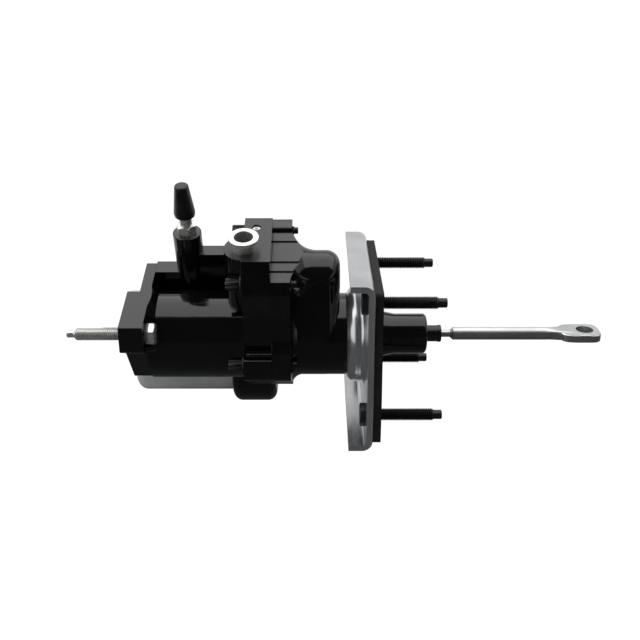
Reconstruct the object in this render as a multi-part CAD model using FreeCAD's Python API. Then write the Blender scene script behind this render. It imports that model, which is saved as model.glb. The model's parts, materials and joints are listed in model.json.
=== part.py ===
import FreeCAD, Part
import math
import os

from FreeCAD import Vector

# Hydraulic brake booster, millimetres.
# Origin: centre of the firewall face of the gasket, on the pedal rod's axis.
# +X points rearwards to the pedal, +Z is up, -Y is the side with the bolt of the near ear.

# Threads, as plain cylinders
STUD_R = 5.0
FLANGE_SCREW_R = 4.0
THREAD_CLEARANCE = 0.05
SLIDE_CLEARANCE = 0.05
HOLE_CLEARANCE = 0.3
LOOSE_CLEARANCE = 0.5

# The casting's ports lean towards the driver's side by this turn about X
PORT_TILT_DEG = 18.0

# Firewall gasket and bracket
GASKET_T = 6.4
GASKET_TOP_Z = 60.2
GASKET_BOTTOM_Z = -60.9
GASKET_TOP_HALF = 65.3
GASKET_BOTTOM_HALF = 73.6
GASKET_HOLE_R = 21.0
GASKET_CORNER_R = 3.0
BRACKET_T = 4.8
BRACKET_DEPTH = 18.5
BRACKET_TOP_Z = 66.6
BRACKET_BOTTOM_Z = -67.0
BRACKET_TOP_HALF = 67.4
BRACKET_BOTTOM_HALF = 74.3
BRACKET_BEND_R = 8.0
TAPER_TOP_Z = 27.0
TAPER_BOTTOM_Z = -27.0
CUP_R = 39.5
CUP_DEPTH = 14.5
CUP_CORNER_R = 8.5
CUP_ROOT_R = 5.0

# Firewall studs
STUD_TOP_Y = 45.5
STUD_TOP_Z = 45.6
STUD_BOTTOM_Y = 52.1
STUD_BOTTOM_Z = -47.0
STUD_TIP_X = 49.2
STUD_POINT_R = 3.7
STUD_POINT_L = 6.5
STUD_HEAD_R = 9.3
STUD_HEAD_T = 4.5
STUD_NECK_R = 5.6
NECK_SET_BACK = 0.4

# Rear cover: hub, barrel, spool dome and flange
HUB_END_X = 40.2
HUB_R = 16.5
HUB_CORNER_R = 3.0
HUB_ROOT_R = 19.0
HUB_FLARE_L = 14.0
HUB_NOTCH_W = 7.0
HUB_NOTCH_X = 3.0
HUB_NOTCH_L = 7.0
HUB_THREAD_R = 20.0
BARREL_R = 33.6
BARREL_ROOT_R = 9.0
SPOOL_Z = 49.0
DOME_R = 22.3
DOME_END_X = -31.0
DOME_CORNER_R = 11.0
DOME_ROOT_R = 20.0
JOINT_X = -84.6
COVER_FLANGE_T = 14.9
LEVER_CAVITY_R = 21.0
LEVER_CAVITY_L = 32.6
SPOOL_CAVITY_R = 16.5
SPOOL_CAVITY_L = 40.6
LEVER_SLOT_HALF = 12.0
LEVER_RELIEF_L = 18.0
LEVER_RELIEF_TOP_Z = 40.0

# Housing
HOUSING_FLANGE_T = 22.0
BODY_R = 36.0
BODY_FACET = 30.0
BODY_FACET_ANGLE = 219.3
FRONT_FLANGE_REAR_X = -182.5
FRONT_FLANGE_T = 8.5
EAR_PAD_T = 10.0
PILOT_R = 22.5
PILOT_DEPTH = 36.0
POWER_BORE_R = 19.05
PORT_FACE_V = 85.0
PORT_X = -104.8
PORT_H = 3.0
PORT_BOSS_R = 15.8
PORT_BORE_DEPTH = 17.0
GALLERY_NEAR_H = 30.3
GALLERY_FAR_H = 47.0
GALLERY_TOP_V = 40.3
GALLERY_LOW_V = -12.0
WEB_TOP_V = 58.0
WEB_FAR_H = 45.0
GALLERY_PLUG_X = -96.9
GALLERY_PLUG_H = 30.5
GALLERY_PLUG_R = 3.5
GALLERY_PLUG_T = 5.0
GALLERY_PLUG_RECESS = 1.2
GALLERY_R = 2.2

# Pressure port fitting
FITTING_RIM_R = 11.7
FITTING_BORE_R = 7.2
FITTING_BODY_R = 9.3
FITTING_STAND = 10.5
FITTING_RIM_T = 2.6
FITTING_THREAD_R = 8.0

# Far side ports
FAR_PORT_X = -95.6
FAR_PORT_FACE_Y = 47.0
GEAR_PORT_Z = 57.0
GEAR_PORT_R = 7.2
GEAR_PORT_DEPTH = 14.0
GEAR_BOSS_R = 10.5
RETURN_Z = 34.0
RETURN_R = 5.5
RETURN_BORE_R = 3.6
RETURN_STAND = 26.0
RETURN_SEAT_R = 6.0
RETURN_SEAT_L = 10.0
RETURN_BEAD_R = 6.9
RETURN_BEAD_L = 2.4
RETURN_BEAD_STAND = 1.6
RETURN_NOSE = 0.8

# Bleeder
BLEEDER_X = -153.6
BLEEDER_H = 38.0
BLEEDER_BOSS_R = 11.5
BLEEDER_BOSS_V = 75.3
BLEEDER_THREAD_R = 4.9
BLEEDER_THREAD_L = 20.0
BLEEDER_HEX_AF = 12.0
BLEEDER_HEX_T = 7.5
BLEEDER_SHANK_R = 4.25
BLEEDER_SHANK_L = 8.0
BLEEDER_NIPPLE_R = 3.4
BLEEDER_NIPPLE_L = 17.0
BLEEDER_BORE_R = 1.2
CAP_BASE_R = 8.45
CAP_TOP_R = 5.4
CAP_L = 27.5
CAP_LIP_L = 3.0

# Flange screws: places in the part's Y and Z
FLANGE_SCREWS = [(-32.0, 55.4), (35.8, 77.3), (-36.0, -11.4), (12.0, -40.0), (46.0, 12.0)]
SCREW_TIP_X = -65.0
SCREW_POINT_R = 2.8
SCREW_POINT_L = 3.0
SCREW_FLANGE_R = 8.4
SCREW_FLANGE_T = 2.2
SCREW_HEAD_R = 4.75
SCREW_HEAD_T = 10.6
SCREW_LOBES = 6
SCREW_LOBE_R = 1.1

# Master cylinder bolts
MC_BOLT_Y = -36.8
MC_BOLT_Z = 15.8
MC_BOLT_TIP_X = -244.0
MC_POINT_R = 2.7
MC_POINT_L = 5.5
MC_HEAD_AF = 16.0
MC_HEAD_T = 7.5
MC_NECK_R = 5.6

# Input plunger and pedal rod
PLUNGER_R = 6.75
PLUNGER_END_X = 52.6
PLUNGER_TIP_X = -94.0
PLUNGER_TIP_R = 6.6
PLUNGER_TIP_L = 10.0
PLUNGER_BEAD_R = 7.1
PLUNGER_BEAD_L = 2.4
COLLAR_R = 11.0
COLLAR_T = 3.6
GUIDE_END_X = 5.0
BALL_X = 44.0
BALL_R = 4.8
BALL_RETAINER_T = 3.7
ROD_NECK_R = 3.0
ROD_NECK_HOLE_R = 3.8
ROD_CONE_X = 60.0
ROD_CONE_L = 2.6
ROD_R = 5.3
ROD_WAIST_X = 139.0
EYE_X = 171.2
EYE_R = 12.2
EYE_T = 6.8
EYE_HOLE_R = 7.0
EYE_CHAMFER = 0.7

# Power piston and lever
PISTON_FRONT_X = -135.0
PISTON_REAR_X = -92.0
PISTON_SEAL_INSET = 4.7
PISTON_SEAL_W = 3.6
PISTON_SEAL_DEPTH = 2.6
REACTION_GAP = 2.5
EAR_REAR_X = -67.0
EAR_IN_Y = 10.3
EAR_T = 4.0
EAR_HALF_Z = 8.0
LEVER_PIN_X = -74.0
LEVER_PIN_R = 2.5
LEVER_ARM_IN_Y = 7.4
LEVER_ARM_T = 2.6
LEVER_W = 9.0
LEVER_HEAD_W = 12.4
LEVER_SLOT_IN = 44.5
LEVER_TOP_CLEARANCE = 4.0
LEVER_BRIDGE_IN = 25.0
LEVER_BRIDGE_L = 7.0
LINK_PIN_R = 2.0
LINK_PIN_X = -66.0
LINK_PLAY = 1.6

# Spool valve
SPOOL_BORE_R = 9.0
SLEEVE_FRONT_X = -99.0
SLEEVE_IN_R = 6.0
SPOOL_FRONT_X = -93.0
SPOOL_REAR_X = -62.0
SPOOL_LAND_GROOVE_R = 4.4
PLUG_T = 5.6
SNAP_RING_T = 1.0
SNAP_RING_R = 10.0

# Springs
RETURN_COIL_R = 14.5
RETURN_WIRE_R = 1.5
RETURN_TURNS = 6
RETAINER_T = 2.0
RETAINER_SET_IN = 12.6
RETAINER_HOLE_R = 9.0
SPOOL_COIL_R = 3.6
SPOOL_WIRE_R = 0.5
SPOOL_TURNS = 3

# Output rod
OUTPUT_R = 4.8
OUTPUT_TIP_X = -222.0
OUTPUT_SOCKET_DEPTH = 12.0
OUTPUT_CLIP_R = 11.5
OUTPUT_CLIP_T = 1.6

# Accumulator
CAN_Y = 50.0
CAN_Z = -51.0
CAN_R = 24.0
CAN_WALL = 3.0
CAN_FRONT_X = -210.0
CAN_CORNER_R = 9.0
CAN_REAR_X = -112.0
CAN_FLANGE_R = 25.5
CAN_FLANGE_L = 6.5
BOSS_R = 34.0
BOSS_FRONT_X = -124.0
BOSS_REAR_X = -85.6
BOSS_CORNER_R = 8.0
BOSS_FLOOR_X = -101.0
CAN_RING_T = 1.8
CAN_RING_R = 27.0
ACC_PISTON_L = 16.0
ACC_PISTON_REAR_X = -114.5
VALVE_R = 6.0
VALVE_L = 9.0

# O-rings
RING_WIRE_R = 0.95
RING_GROOVE_W = 2.6
SEAL_W = 2.4
SEAL_DEPTH = 2.4
SEAL_LOW_R = 25.5
SEAL_HIGH_R = 18.6

# Bracket nut
NUT_R = 27.0
NUT_T = 9.5
NUT_SLOTS = 6
NUT_SLOT_W = 5.0
NUT_SLOT_DEPTH = 3.0

PLATE_REAR_X = -GASKET_T
PLATE_FRONT_X = PLATE_REAR_X - BRACKET_T
CUP_FRONT_X = PLATE_FRONT_X - CUP_DEPTH
FLANGE_FRONT_X = JOINT_X - HOUSING_FLANGE_T
COVER_FLANGE_REAR_X = JOINT_X + COVER_FLANGE_T
FRONT_FLANGE_X = FRONT_FLANGE_REAR_X - FRONT_FLANGE_T
EAR_PAD_X = FRONT_FLANGE_X - EAR_PAD_T
LEVER_CAVITY_X = JOINT_X + LEVER_CAVITY_L
SPOOL_CAVITY_X = JOINT_X + SPOOL_CAVITY_L
PILOT_FLOOR_X = EAR_PAD_X + PILOT_DEPTH
PISTON_R = POWER_BORE_R - SLIDE_CLEARANCE
RETAINER_REAR_X = EAR_PAD_X + RETAINER_SET_IN
PISTON_SEAL_X = PISTON_FRONT_X + PISTON_SEAL_INSET
LEVER_L = SPOOL_Z + SPOOL_CAVITY_R - LEVER_TOP_CLEARANCE
TILT = math.radians(PORT_TILT_DEG)
AXIS_X = Vector(1, 0, 0)


def from_cast(h, v):
    """Casting coordinates, square to the port face, to the part's Y and Z."""
    y = h * math.cos(TILT) - v * math.sin(TILT)
    z = h * math.sin(TILT) + v * math.cos(TILT)
    return y, z


def cast_corner(h, v, r):
    y, z = from_cast(h, v)
    return y, z, r


def lean(shape):
    """Turns a shape made square to the port face into its place."""
    return shape.rotated(Vector(0, 0, 0), AXIS_X, PORT_TILT_DEG)


def rounded_wire(corners, place):
    """A closed outline; each corner is (a, b, radius) and place turns (a, b) into a point."""
    arcs = []
    count = len(corners)
    for i in range(count):
        before = Vector(corners[i - 1][0], corners[i - 1][1], 0)
        here = Vector(corners[i][0], corners[i][1], 0)
        after = Vector(corners[(i + 1) % count][0], corners[(i + 1) % count][1], 0)
        radius = corners[i][2]
        if radius <= 0:
            arcs.append((here, None, here))
            continue
        back = (before - here).normalize()
        ahead = (after - here).normalize()
        half = back.getAngle(ahead) / 2
        cut = radius / math.tan(half)
        middle = (back + ahead).normalize() * (radius / math.sin(half) - radius)
        arcs.append((here + back * cut, here + middle, here + ahead * cut))
    edges = []
    for i in range(count):
        start, middle, end = arcs[i]
        if middle is not None:
            points = [place(p.x, p.y) for p in (start, middle, end)]
            edges.append(Part.Arc(*points).toShape())
        following = arcs[(i + 1) % count][0]
        if end.distanceToPoint(following) > 1e-5:
            edges.append(Part.makeLine(place(end.x, end.y), place(following.x, following.y)))
    return Part.Wire(edges)


def prism(corners, x_start, x_end):
    """An outline in Y and Z, carried along X."""
    wire = rounded_wire(corners, lambda a, b: Vector(x_start, a, b))
    return Part.Face(wire).extrude(Vector(x_end - x_start, 0, 0))


def turned(profile, y=0.0, z=0.0):
    """A profile of (x, radius, corner radius) spun about an axis along X."""
    wire = rounded_wire(profile, lambda a, b: Vector(a, y, z + b))
    return Part.Face(wire).revolve(Vector(0, y, z), AXIS_X, 360)


def shaft(x_start, x_end, radius, y=0.0, z=0.0, edge=0.0):
    """A round bar along X, with an optional chamfer at both ends."""
    low = min(x_start, x_end)
    high = max(x_start, x_end)
    if edge <= 0:
        return Part.makeCylinder(radius, high - low, Vector(low, y, z), AXIS_X)
    profile = [(low, 0, 0), (low, radius - edge, 0), (low + edge, radius, 0)]
    profile += [(high - edge, radius, 0), (high, radius - edge, 0), (high, 0, 0)]
    return turned(profile, y, z)


def ring(x_start, x_end, inner, outer, y=0.0, z=0.0):
    return shaft(x_start, x_end, outer, y, z).cut(shaft(x_start, x_end, inner, y, z))


def o_ring(x, centre_r, y=0.0, z=0.0):
    return Part.makeTorus(centre_r, RING_WIRE_R, Vector(x, y, z), AXIS_X)


def upright(profile, x, h):
    """A profile of (radius, v, corner radius) spun about an axis square to the port face."""
    wire = rounded_wire(profile, lambda a, b: Vector(x + a, h, b))
    return lean(Part.Face(wire).revolve(Vector(x, h, 0), Vector(0, 0, 1), 360))


def post(x, h, v_low, v_high, radius):
    return upright([(0, v_low, 0), (radius, v_low, 0), (radius, v_high, 0), (0, v_high, 0)], x, h)


def cast_block(x_start, x_end, h_low, h_high, v_low, v_high, corner=0.0):
    corners = [cast_corner(h_low, v_low, 0), cast_corner(h_high, v_low, 0)]
    corners += [cast_corner(h_high, v_high, corner), cast_corner(h_low, v_high, 0)]
    return prism(corners, x_start, x_end)


def hexagon_bar(across_flats, length):
    """A hexagonal bar from the origin up Z, with its corners turned off at both ends."""
    corner = across_flats / math.sqrt(3)
    points = [Vector(corner * math.cos(math.radians(60 * i)), corner * math.sin(math.radians(60 * i)), 0)
              for i in range(7)]
    bar = Part.Face(Part.makePolygon(points)).extrude(Vector(0, 0, length))
    slope = (corner - across_flats / 2) * 0.6
    flat = across_flats / 2 * 0.97
    outline = [(0, 0, 0), (flat, 0, 0), (corner, slope, 0), (corner, length - slope, 0)]
    outline += [(flat, length, 0), (0, length, 0)]
    wire = rounded_wire(outline, lambda a, b: Vector(a, 0, b))
    return bar.common(Part.Face(wire).revolve(Vector(0, 0, 0), Vector(0, 0, 1), 360))


def coil_spring(x_start, x_end, centre_r, wire_r, turns, y=0.0, z=0.0):
    """A spring along X between two seats."""
    length = abs(x_end - x_start) - 2 * wire_r
    helix = Part.makeHelix(length / turns, length, centre_r)
    section = Part.Wire(Part.makeCircle(wire_r, Vector(centre_r, 0, 0), Vector(0, 1, 0)))
    spring = Part.Wire(helix.Edges).makePipeShell([section], True, True)
    spring.rotate(Vector(0, 0, 0), Vector(0, 1, 0), 90)
    spring.translate(Vector(min(x_start, x_end) + wire_r, y, z))
    return spring


def joined(shapes):
    whole = shapes[0].fuse(shapes[1:])
    return whole.removeSplitter()


def tapered_outline(top_half, bottom_half, top_z, bottom_z, corner):
    """The bracket's and gasket's outline: narrower above, wider below."""
    right = [(top_half, top_z, corner), (top_half, TAPER_TOP_Z, corner * 2)]
    right += [(bottom_half, TAPER_BOTTOM_Z, corner * 2), (bottom_half, bottom_z, corner)]
    left = [(-y, z, r) for y, z, r in reversed(right)]
    return right + left


def stud_places():
    places = []
    for side in (-1, 1):
        places.append((side * STUD_TOP_Y, STUD_TOP_Z))
        places.append((side * STUD_BOTTOM_Y, STUD_BOTTOM_Z))
    return places


def bolt_places():
    return [(MC_BOLT_Y, MC_BOLT_Z), (-MC_BOLT_Y, -MC_BOLT_Z)]


def far_side_outline():
    """The far half of both flanges, from the bottom screw up to the far upper screw."""
    low_y, low_z = FLANGE_SCREWS[3]
    mid_y, mid_z = FLANGE_SCREWS[4]
    side = [(low_y - 9, low_z - 9, 7), (low_y + 9, low_z - 9, 7), (low_y + 14, low_z + 12, 6)]
    side += [(mid_y - 8, mid_z - 14, 9), (mid_y + 9, mid_z - 9, 7), (mid_y + 9, mid_z + 9, 7)]
    side += [(FAR_PORT_FACE_Y - 2, mid_z + 18, 5), cast_corner(67.0, 50.0, 6), cast_corner(67.0, 71.5, 8.5)]
    return side


def near_side_outline():
    """The near ear and the round bottom that both flanges share."""
    ear_y, ear_z = FLANGE_SCREWS[2]
    return [(ear_y - 9, ear_z + 7.9, 2.5), (ear_y - 9.5, ear_z - 9, 6), (-28.0, -31.0, 8), (-10.0, -39.5, 12)]


def housing_outline():
    top = [cast_corner(48.0, 71.5, 2), cast_corner(43.9, 75.0, 2)]
    top += [cast_corner(43.9, PORT_FACE_V, 1.0), cast_corner(-14.3, PORT_FACE_V, 0)]
    near = [(-46.2, 50.4, 4), (-37.0, 32.0, 12), (-34.5, 8.0, 14), (-33.0, -3.5, 3)]
    return top + near + near_side_outline() + far_side_outline()


def cover_outline():
    """Its top rim steps down in flat lands from the far screw to the near one."""
    rim = [cast_corner(49.0, 71.5, 3), cast_corner(44.0, 64.0, 4), cast_corner(39.0, 73.0, 1)]
    rim += [cast_corner(28.8, 73.0, 0), cast_corner(28.8, 72.0, 0), cast_corner(3.3, 72.0, 0)]
    rim += [cast_corner(3.3, 71.0, 0), cast_corner(-7.5, 71.0, 0), cast_corner(-7.5, 70.0, 0)]
    rim += [cast_corner(-20.5, 70.0, 1)]
    near = [(-46.2, 50.4, 5), (-38.5, 30.0, 12), (-40.5, 10.0, 8), (-44.0, 2.0, 3)]
    return rim + near + near_side_outline()[1:] + far_side_outline()


def pair_outline(low_r, high_r):
    """The tangent outline round the power bore and the spool bore, as a face at the joint."""
    sine = (low_r - high_r) / SPOOL_Z
    lift = math.asin(sine)
    side_y = math.cos(lift)
    low_y = low_r * side_y
    low_z = low_r * sine
    high_y = high_r * side_y
    high_z = SPOOL_Z + high_r * sine
    edges = [Part.Arc(Vector(0, low_y, low_z), Vector(0, 0, -low_r), Vector(0, -low_y, low_z)).toShape()]
    edges.append(Part.makeLine(Vector(0, -low_y, low_z), Vector(0, -high_y, high_z)))
    top = Vector(0, 0, SPOOL_Z + high_r)
    edges.append(Part.Arc(Vector(0, -high_y, high_z), top, Vector(0, high_y, high_z)).toShape())
    edges.append(Part.makeLine(Vector(0, high_y, high_z), Vector(0, low_y, low_z)))
    return Part.Face(Part.Wire(edges))


def pair_solid(low_r, high_r, x_start, x_end):
    face = pair_outline(low_r, high_r)
    face.translate(Vector(x_start, 0, 0))
    return face.extrude(Vector(x_end - x_start, 0, 0))


def joint_seal(clearance=0.0):
    """The moulded seal in the joint face, or with a clearance the groove for it."""
    front = JOINT_X - SEAL_DEPTH - clearance
    outer = pair_solid(SEAL_LOW_R + SEAL_W + clearance, SEAL_HIGH_R + SEAL_W + clearance, front, JOINT_X)
    inner = pair_solid(SEAL_LOW_R - clearance, SEAL_HIGH_R - clearance, front, JOINT_X)
    return outer.cut(inner)


def front_flange_corners():
    corners = [cast_corner(-39.4, 40.5, 1.5), cast_corner(46.0, 40.5, 6), cast_corner(47.0, -2.0, 4)]
    corners += [cast_corner(46.6, -21.7, 3), cast_corner(39.4, -40.5, 1.5), cast_corner(-5.0, -40.5, 3)]
    corners += [cast_corner(-20.5, -29.1, 2), cast_corner(-31.0, 6.6, 5), cast_corner(-46.6, 21.7, 3)]
    return corners


def ear_pad_corners(turn):
    """The near ear's raised pad; turn is 1 for it and -1 for the far ear's, half a turn away."""
    outline = [(-39.4, 40.5, 1.5), (6.0, 40.5, 5), (6.0, -40.5, 0), (-5.0, -40.5, 3)]
    outline += [(-20.5, -29.1, 2), (-31.0, 6.6, 5), (-46.6, 21.7, 3)]
    return [cast_corner(turn * h, turn * v, r) for h, v, r in outline]


def lever_relief():
    """Room between the power bore and the spool bore for the lever to lean into."""
    half = LEVER_SLOT_HALF - 0.5
    start = Vector(JOINT_X - LEVER_RELIEF_L, -half, 0)
    return Part.makeBox(LEVER_RELIEF_L, 2 * half, LEVER_RELIEF_TOP_Z, start)


def housing():
    body = shaft(FRONT_FLANGE_REAR_X - 1, FLANGE_FRONT_X + 1, BODY_R)
    facet = Part.makeBox(120, 40, 80, Vector(-210, BODY_FACET, -40))
    facet = facet.rotated(Vector(0, 0, 0), AXIS_X, BODY_FACET_ANGLE - 90)
    root = turned([(FRONT_FLANGE_REAR_X, 0, 0), (FRONT_FLANGE_REAR_X, BODY_R + 6, 0),
                   (FRONT_FLANGE_REAR_X + 6, BODY_R, 0), (FRONT_FLANGE_REAR_X + 6, 0, 0)])
    flange = prism(front_flange_corners(), FRONT_FLANGE_X, FRONT_FLANGE_REAR_X)
    root = root.common(prism(front_flange_corners(), FRONT_FLANGE_X, FRONT_FLANGE_REAR_X + 8))
    pads = [prism(ear_pad_corners(turn), EAR_PAD_X, FRONT_FLANGE_X) for turn in (1, -1)]
    rear_flange = prism(housing_outline(), FLANGE_FRONT_X, JOINT_X)
    gallery = cast_block(FRONT_FLANGE_REAR_X, FLANGE_FRONT_X, GALLERY_NEAR_H, GALLERY_FAR_H,
                         GALLERY_LOW_V, GALLERY_TOP_V, 3)
    web = cast_block(BLEEDER_X, FLANGE_FRONT_X, GALLERY_NEAR_H, WEB_FAR_H, GALLERY_TOP_V - 5, WEB_TOP_V, 3)
    bleeder_boss = upright([(0, 20, 0), (BLEEDER_BOSS_R, 20, 0),
                            (BLEEDER_BOSS_R, BLEEDER_BOSS_V, 1.0), (0, BLEEDER_BOSS_V, 0)], BLEEDER_X, BLEEDER_H)
    port_boss = post(PORT_X, PORT_H, 20, PORT_FACE_V, PORT_BOSS_R)
    acc_boss = turned([(BOSS_FRONT_X, 0, 0), (BOSS_FRONT_X, BOSS_R, BOSS_CORNER_R),
                       (BOSS_REAR_X, BOSS_R, BOSS_CORNER_R), (BOSS_REAR_X, 0, 0)], CAN_Y, CAN_Z)
    acc_web = prism([(4.0, -30.0, 3), (26.0, -50.0, 3), (52.0, -25.0, 3), (34.0, 0.0, 3)], BOSS_FRONT_X + 2, JOINT_X)
    gear_boss = Part.makeCylinder(GEAR_BOSS_R, FAR_PORT_FACE_Y - 30, Vector(FAR_PORT_X, 30, GEAR_PORT_Z),
                                  Vector(0, 1, 0))
    lower = joined([body.cut(facet), root, flange] + pads + [rear_flange, gallery, acc_web, acc_boss])
    whole = joined([lower, web, bleeder_boss, port_boss, gear_boss])
    tools = [shaft(EAR_PAD_X - 5, PILOT_FLOOR_X, PILOT_R), shaft(PILOT_FLOOR_X - 1, JOINT_X + 1, POWER_BORE_R)]
    tools.append(shaft(PISTON_SEAL_X - PISTON_SEAL_W / 2 - 0.1, PISTON_SEAL_X + PISTON_SEAL_W / 2 + 0.1,
                       POWER_BORE_R + PISTON_SEAL_DEPTH))
    tools.append(shaft(FLANGE_FRONT_X - 3, JOINT_X + 1, SPOOL_BORE_R, 0, SPOOL_Z))
    tools.append(shaft(FLANGE_FRONT_X + 0.6, FLANGE_FRONT_X + 0.7 + SNAP_RING_T, SNAP_RING_R, 0, SPOOL_Z))
    tools.append(lever_relief())
    tools.append(joint_seal(SLIDE_CLEARANCE))
    for y, z in bolt_places():
        tools.append(shaft(EAR_PAD_X - 1, FRONT_FLANGE_REAR_X + 12, MC_NECK_R + HOLE_CLEARANCE, y, z))
        tools.append(shaft(FRONT_FLANGE_REAR_X, FRONT_FLANGE_REAR_X + 12, MC_HEAD_AF / 2 + 2.2, y, z))
    for y, z in FLANGE_SCREWS:
        tools.append(shaft(FLANGE_FRONT_X - 1, JOINT_X + 1, FLANGE_SCREW_R + HOLE_CLEARANCE, y, z))
        tools.append(shaft(FLANGE_FRONT_X - 16, FLANGE_FRONT_X, SCREW_FLANGE_R + 0.6, y, z))
    tools.append(post(PORT_X, PORT_H, PORT_FACE_V - PORT_BORE_DEPTH, PORT_FACE_V + 1,
                      FITTING_THREAD_R + THREAD_CLEARANCE))
    tools.append(post(PORT_X, PORT_H, PORT_FACE_V - 1.6, PORT_FACE_V + 1, FITTING_BODY_R - 0.2))
    tools.append(post(GALLERY_PLUG_X, GALLERY_PLUG_H, PORT_FACE_V - GALLERY_PLUG_T - GALLERY_PLUG_RECESS,
                      PORT_FACE_V + 1, GALLERY_PLUG_R))
    tools.append(post(GALLERY_PLUG_X, GALLERY_PLUG_H, PORT_FACE_V - 50, PORT_FACE_V, GALLERY_R))
    tools.append(post(BLEEDER_X, BLEEDER_H, BLEEDER_BOSS_V - BLEEDER_THREAD_L, BLEEDER_BOSS_V + 1,
                      BLEEDER_THREAD_R + SLIDE_CLEARANCE))
    tools.append(post(BLEEDER_X, BLEEDER_H, BLEEDER_BOSS_V - 70, BLEEDER_BOSS_V, GALLERY_R))
    tools.append(Part.makeCylinder(GEAR_PORT_R, GEAR_PORT_DEPTH + 1, Vector(FAR_PORT_X, FAR_PORT_FACE_Y + 1,
                                                                          GEAR_PORT_Z), Vector(0, -1, 0)))
    tools.append(Part.makeCylinder(RETURN_SEAT_R, 40, Vector(FAR_PORT_X, FAR_PORT_FACE_Y - 2 - RETURN_SEAT_L, RETURN_Z),
                                   Vector(0, 1, 0)))
    tools.append(shaft(BOSS_FRONT_X - 1, CAN_REAR_X, CAN_FLANGE_R + 0.1, CAN_Y, CAN_Z))
    tools.append(shaft(CAN_REAR_X - 1, BOSS_FLOOR_X, CAN_R - CAN_WALL, CAN_Y, CAN_Z))
    tools.append(shaft(CAN_REAR_X - CAN_FLANGE_L - CAN_RING_T - 0.2, CAN_REAR_X - CAN_FLANGE_L - 0.1,
                       CAN_RING_R, CAN_Y, CAN_Z))
    tools.append(shaft(BOSS_FLOOR_X - 1, BOSS_FLOOR_X + VALVE_L, VALVE_R, CAN_Y, CAN_Z))
    tools.append(shaft(CAN_FRONT_X - 5, BOSS_FRONT_X, CAN_R + 1.5, CAN_Y, CAN_Z))
    return whole.cut(tools)


def rear_cover():
    outline = prism(cover_outline(), JOINT_X, CUP_FRONT_X)
    flange = prism(cover_outline(), JOINT_X, COVER_FLANGE_REAR_X)
    barrel = turned([(JOINT_X, 0, 0), (JOINT_X, BARREL_R + 14, 0), (COVER_FLANGE_REAR_X, BARREL_R + 14, 0),
                     (COVER_FLANGE_REAR_X, BARREL_R, BARREL_ROOT_R), (CUP_FRONT_X, BARREL_R, 0),
                     (CUP_FRONT_X, 0, 0)])
    dome = turned([(JOINT_X, 0, 0), (JOINT_X, DOME_R + 24, 0), (COVER_FLANGE_REAR_X, DOME_R + 24, 0),
                   (COVER_FLANGE_REAR_X, DOME_R, DOME_ROOT_R), (DOME_END_X, DOME_R, DOME_CORNER_R),
                   (DOME_END_X, 0, 0)], 0, SPOOL_Z)
    waist = prism([(-19.0, 10.0, 0), (19.0, 10.0, 0), (17.0, SPOOL_Z, 0), (-17.0, SPOOL_Z, 0)],
                  JOINT_X, DOME_END_X - DOME_CORNER_R * 0.6)
    forms = joined([flange, barrel, dome, waist]).common(outline)
    hub = turned([(CUP_FRONT_X - 1, 0, 0), (CUP_FRONT_X - 1, HUB_THREAD_R, 0), (PLATE_REAR_X, HUB_THREAD_R, 0),
                  (PLATE_REAR_X, HUB_ROOT_R, 0), (2.0, HUB_ROOT_R, 6), (HUB_FLARE_L, HUB_R, 12),
                  (HUB_END_X, HUB_R, HUB_CORNER_R), (HUB_END_X, 0, 0)])
    whole = joined([forms, hub])
    plunger_r = PLUNGER_R + SLIDE_CLEARANCE
    tools = [shaft(JOINT_X - 1, LEVER_CAVITY_X, LEVER_CAVITY_R)]
    tools.append(shaft(JOINT_X - 1, SPOOL_CAVITY_X, SPOOL_CAVITY_R, 0, SPOOL_Z))
    tools.append(Part.makeBox(LEVER_CAVITY_L + 1, 2 * LEVER_SLOT_HALF, SPOOL_Z,
                              Vector(JOINT_X - 1, -LEVER_SLOT_HALF, 0)))
    tools.append(shaft(LEVER_CAVITY_X - 1, HUB_END_X + 1, plunger_r))
    tools.append(shaft(GUIDE_END_X, HUB_END_X + 1, PLUNGER_BEAD_R + LOOSE_CLEARANCE))
    tools.append(shaft(-33.1, -28.9, PLUNGER_R + 2.9))
    tools.append(Part.makeBox(HUB_NOTCH_L, 5, HUB_NOTCH_W, Vector(HUB_NOTCH_X, -HUB_ROOT_R - 1, -HUB_NOTCH_W / 2)))
    for y, z in FLANGE_SCREWS:
        tools.append(shaft(JOINT_X - 1, COVER_FLANGE_REAR_X + 12, FLANGE_SCREW_R + THREAD_CLEARANCE, y, z))
        tools.append(shaft(COVER_FLANGE_REAR_X, COVER_FLANGE_REAR_X + 13, FLANGE_SCREW_R + 3.2, y, z))
    return whole.cut(tools)


def input_seal():
    return ring(-33.0, -29.0, PLUNGER_R + SLIDE_CLEARANCE, PLUNGER_R + 2.85)


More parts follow.
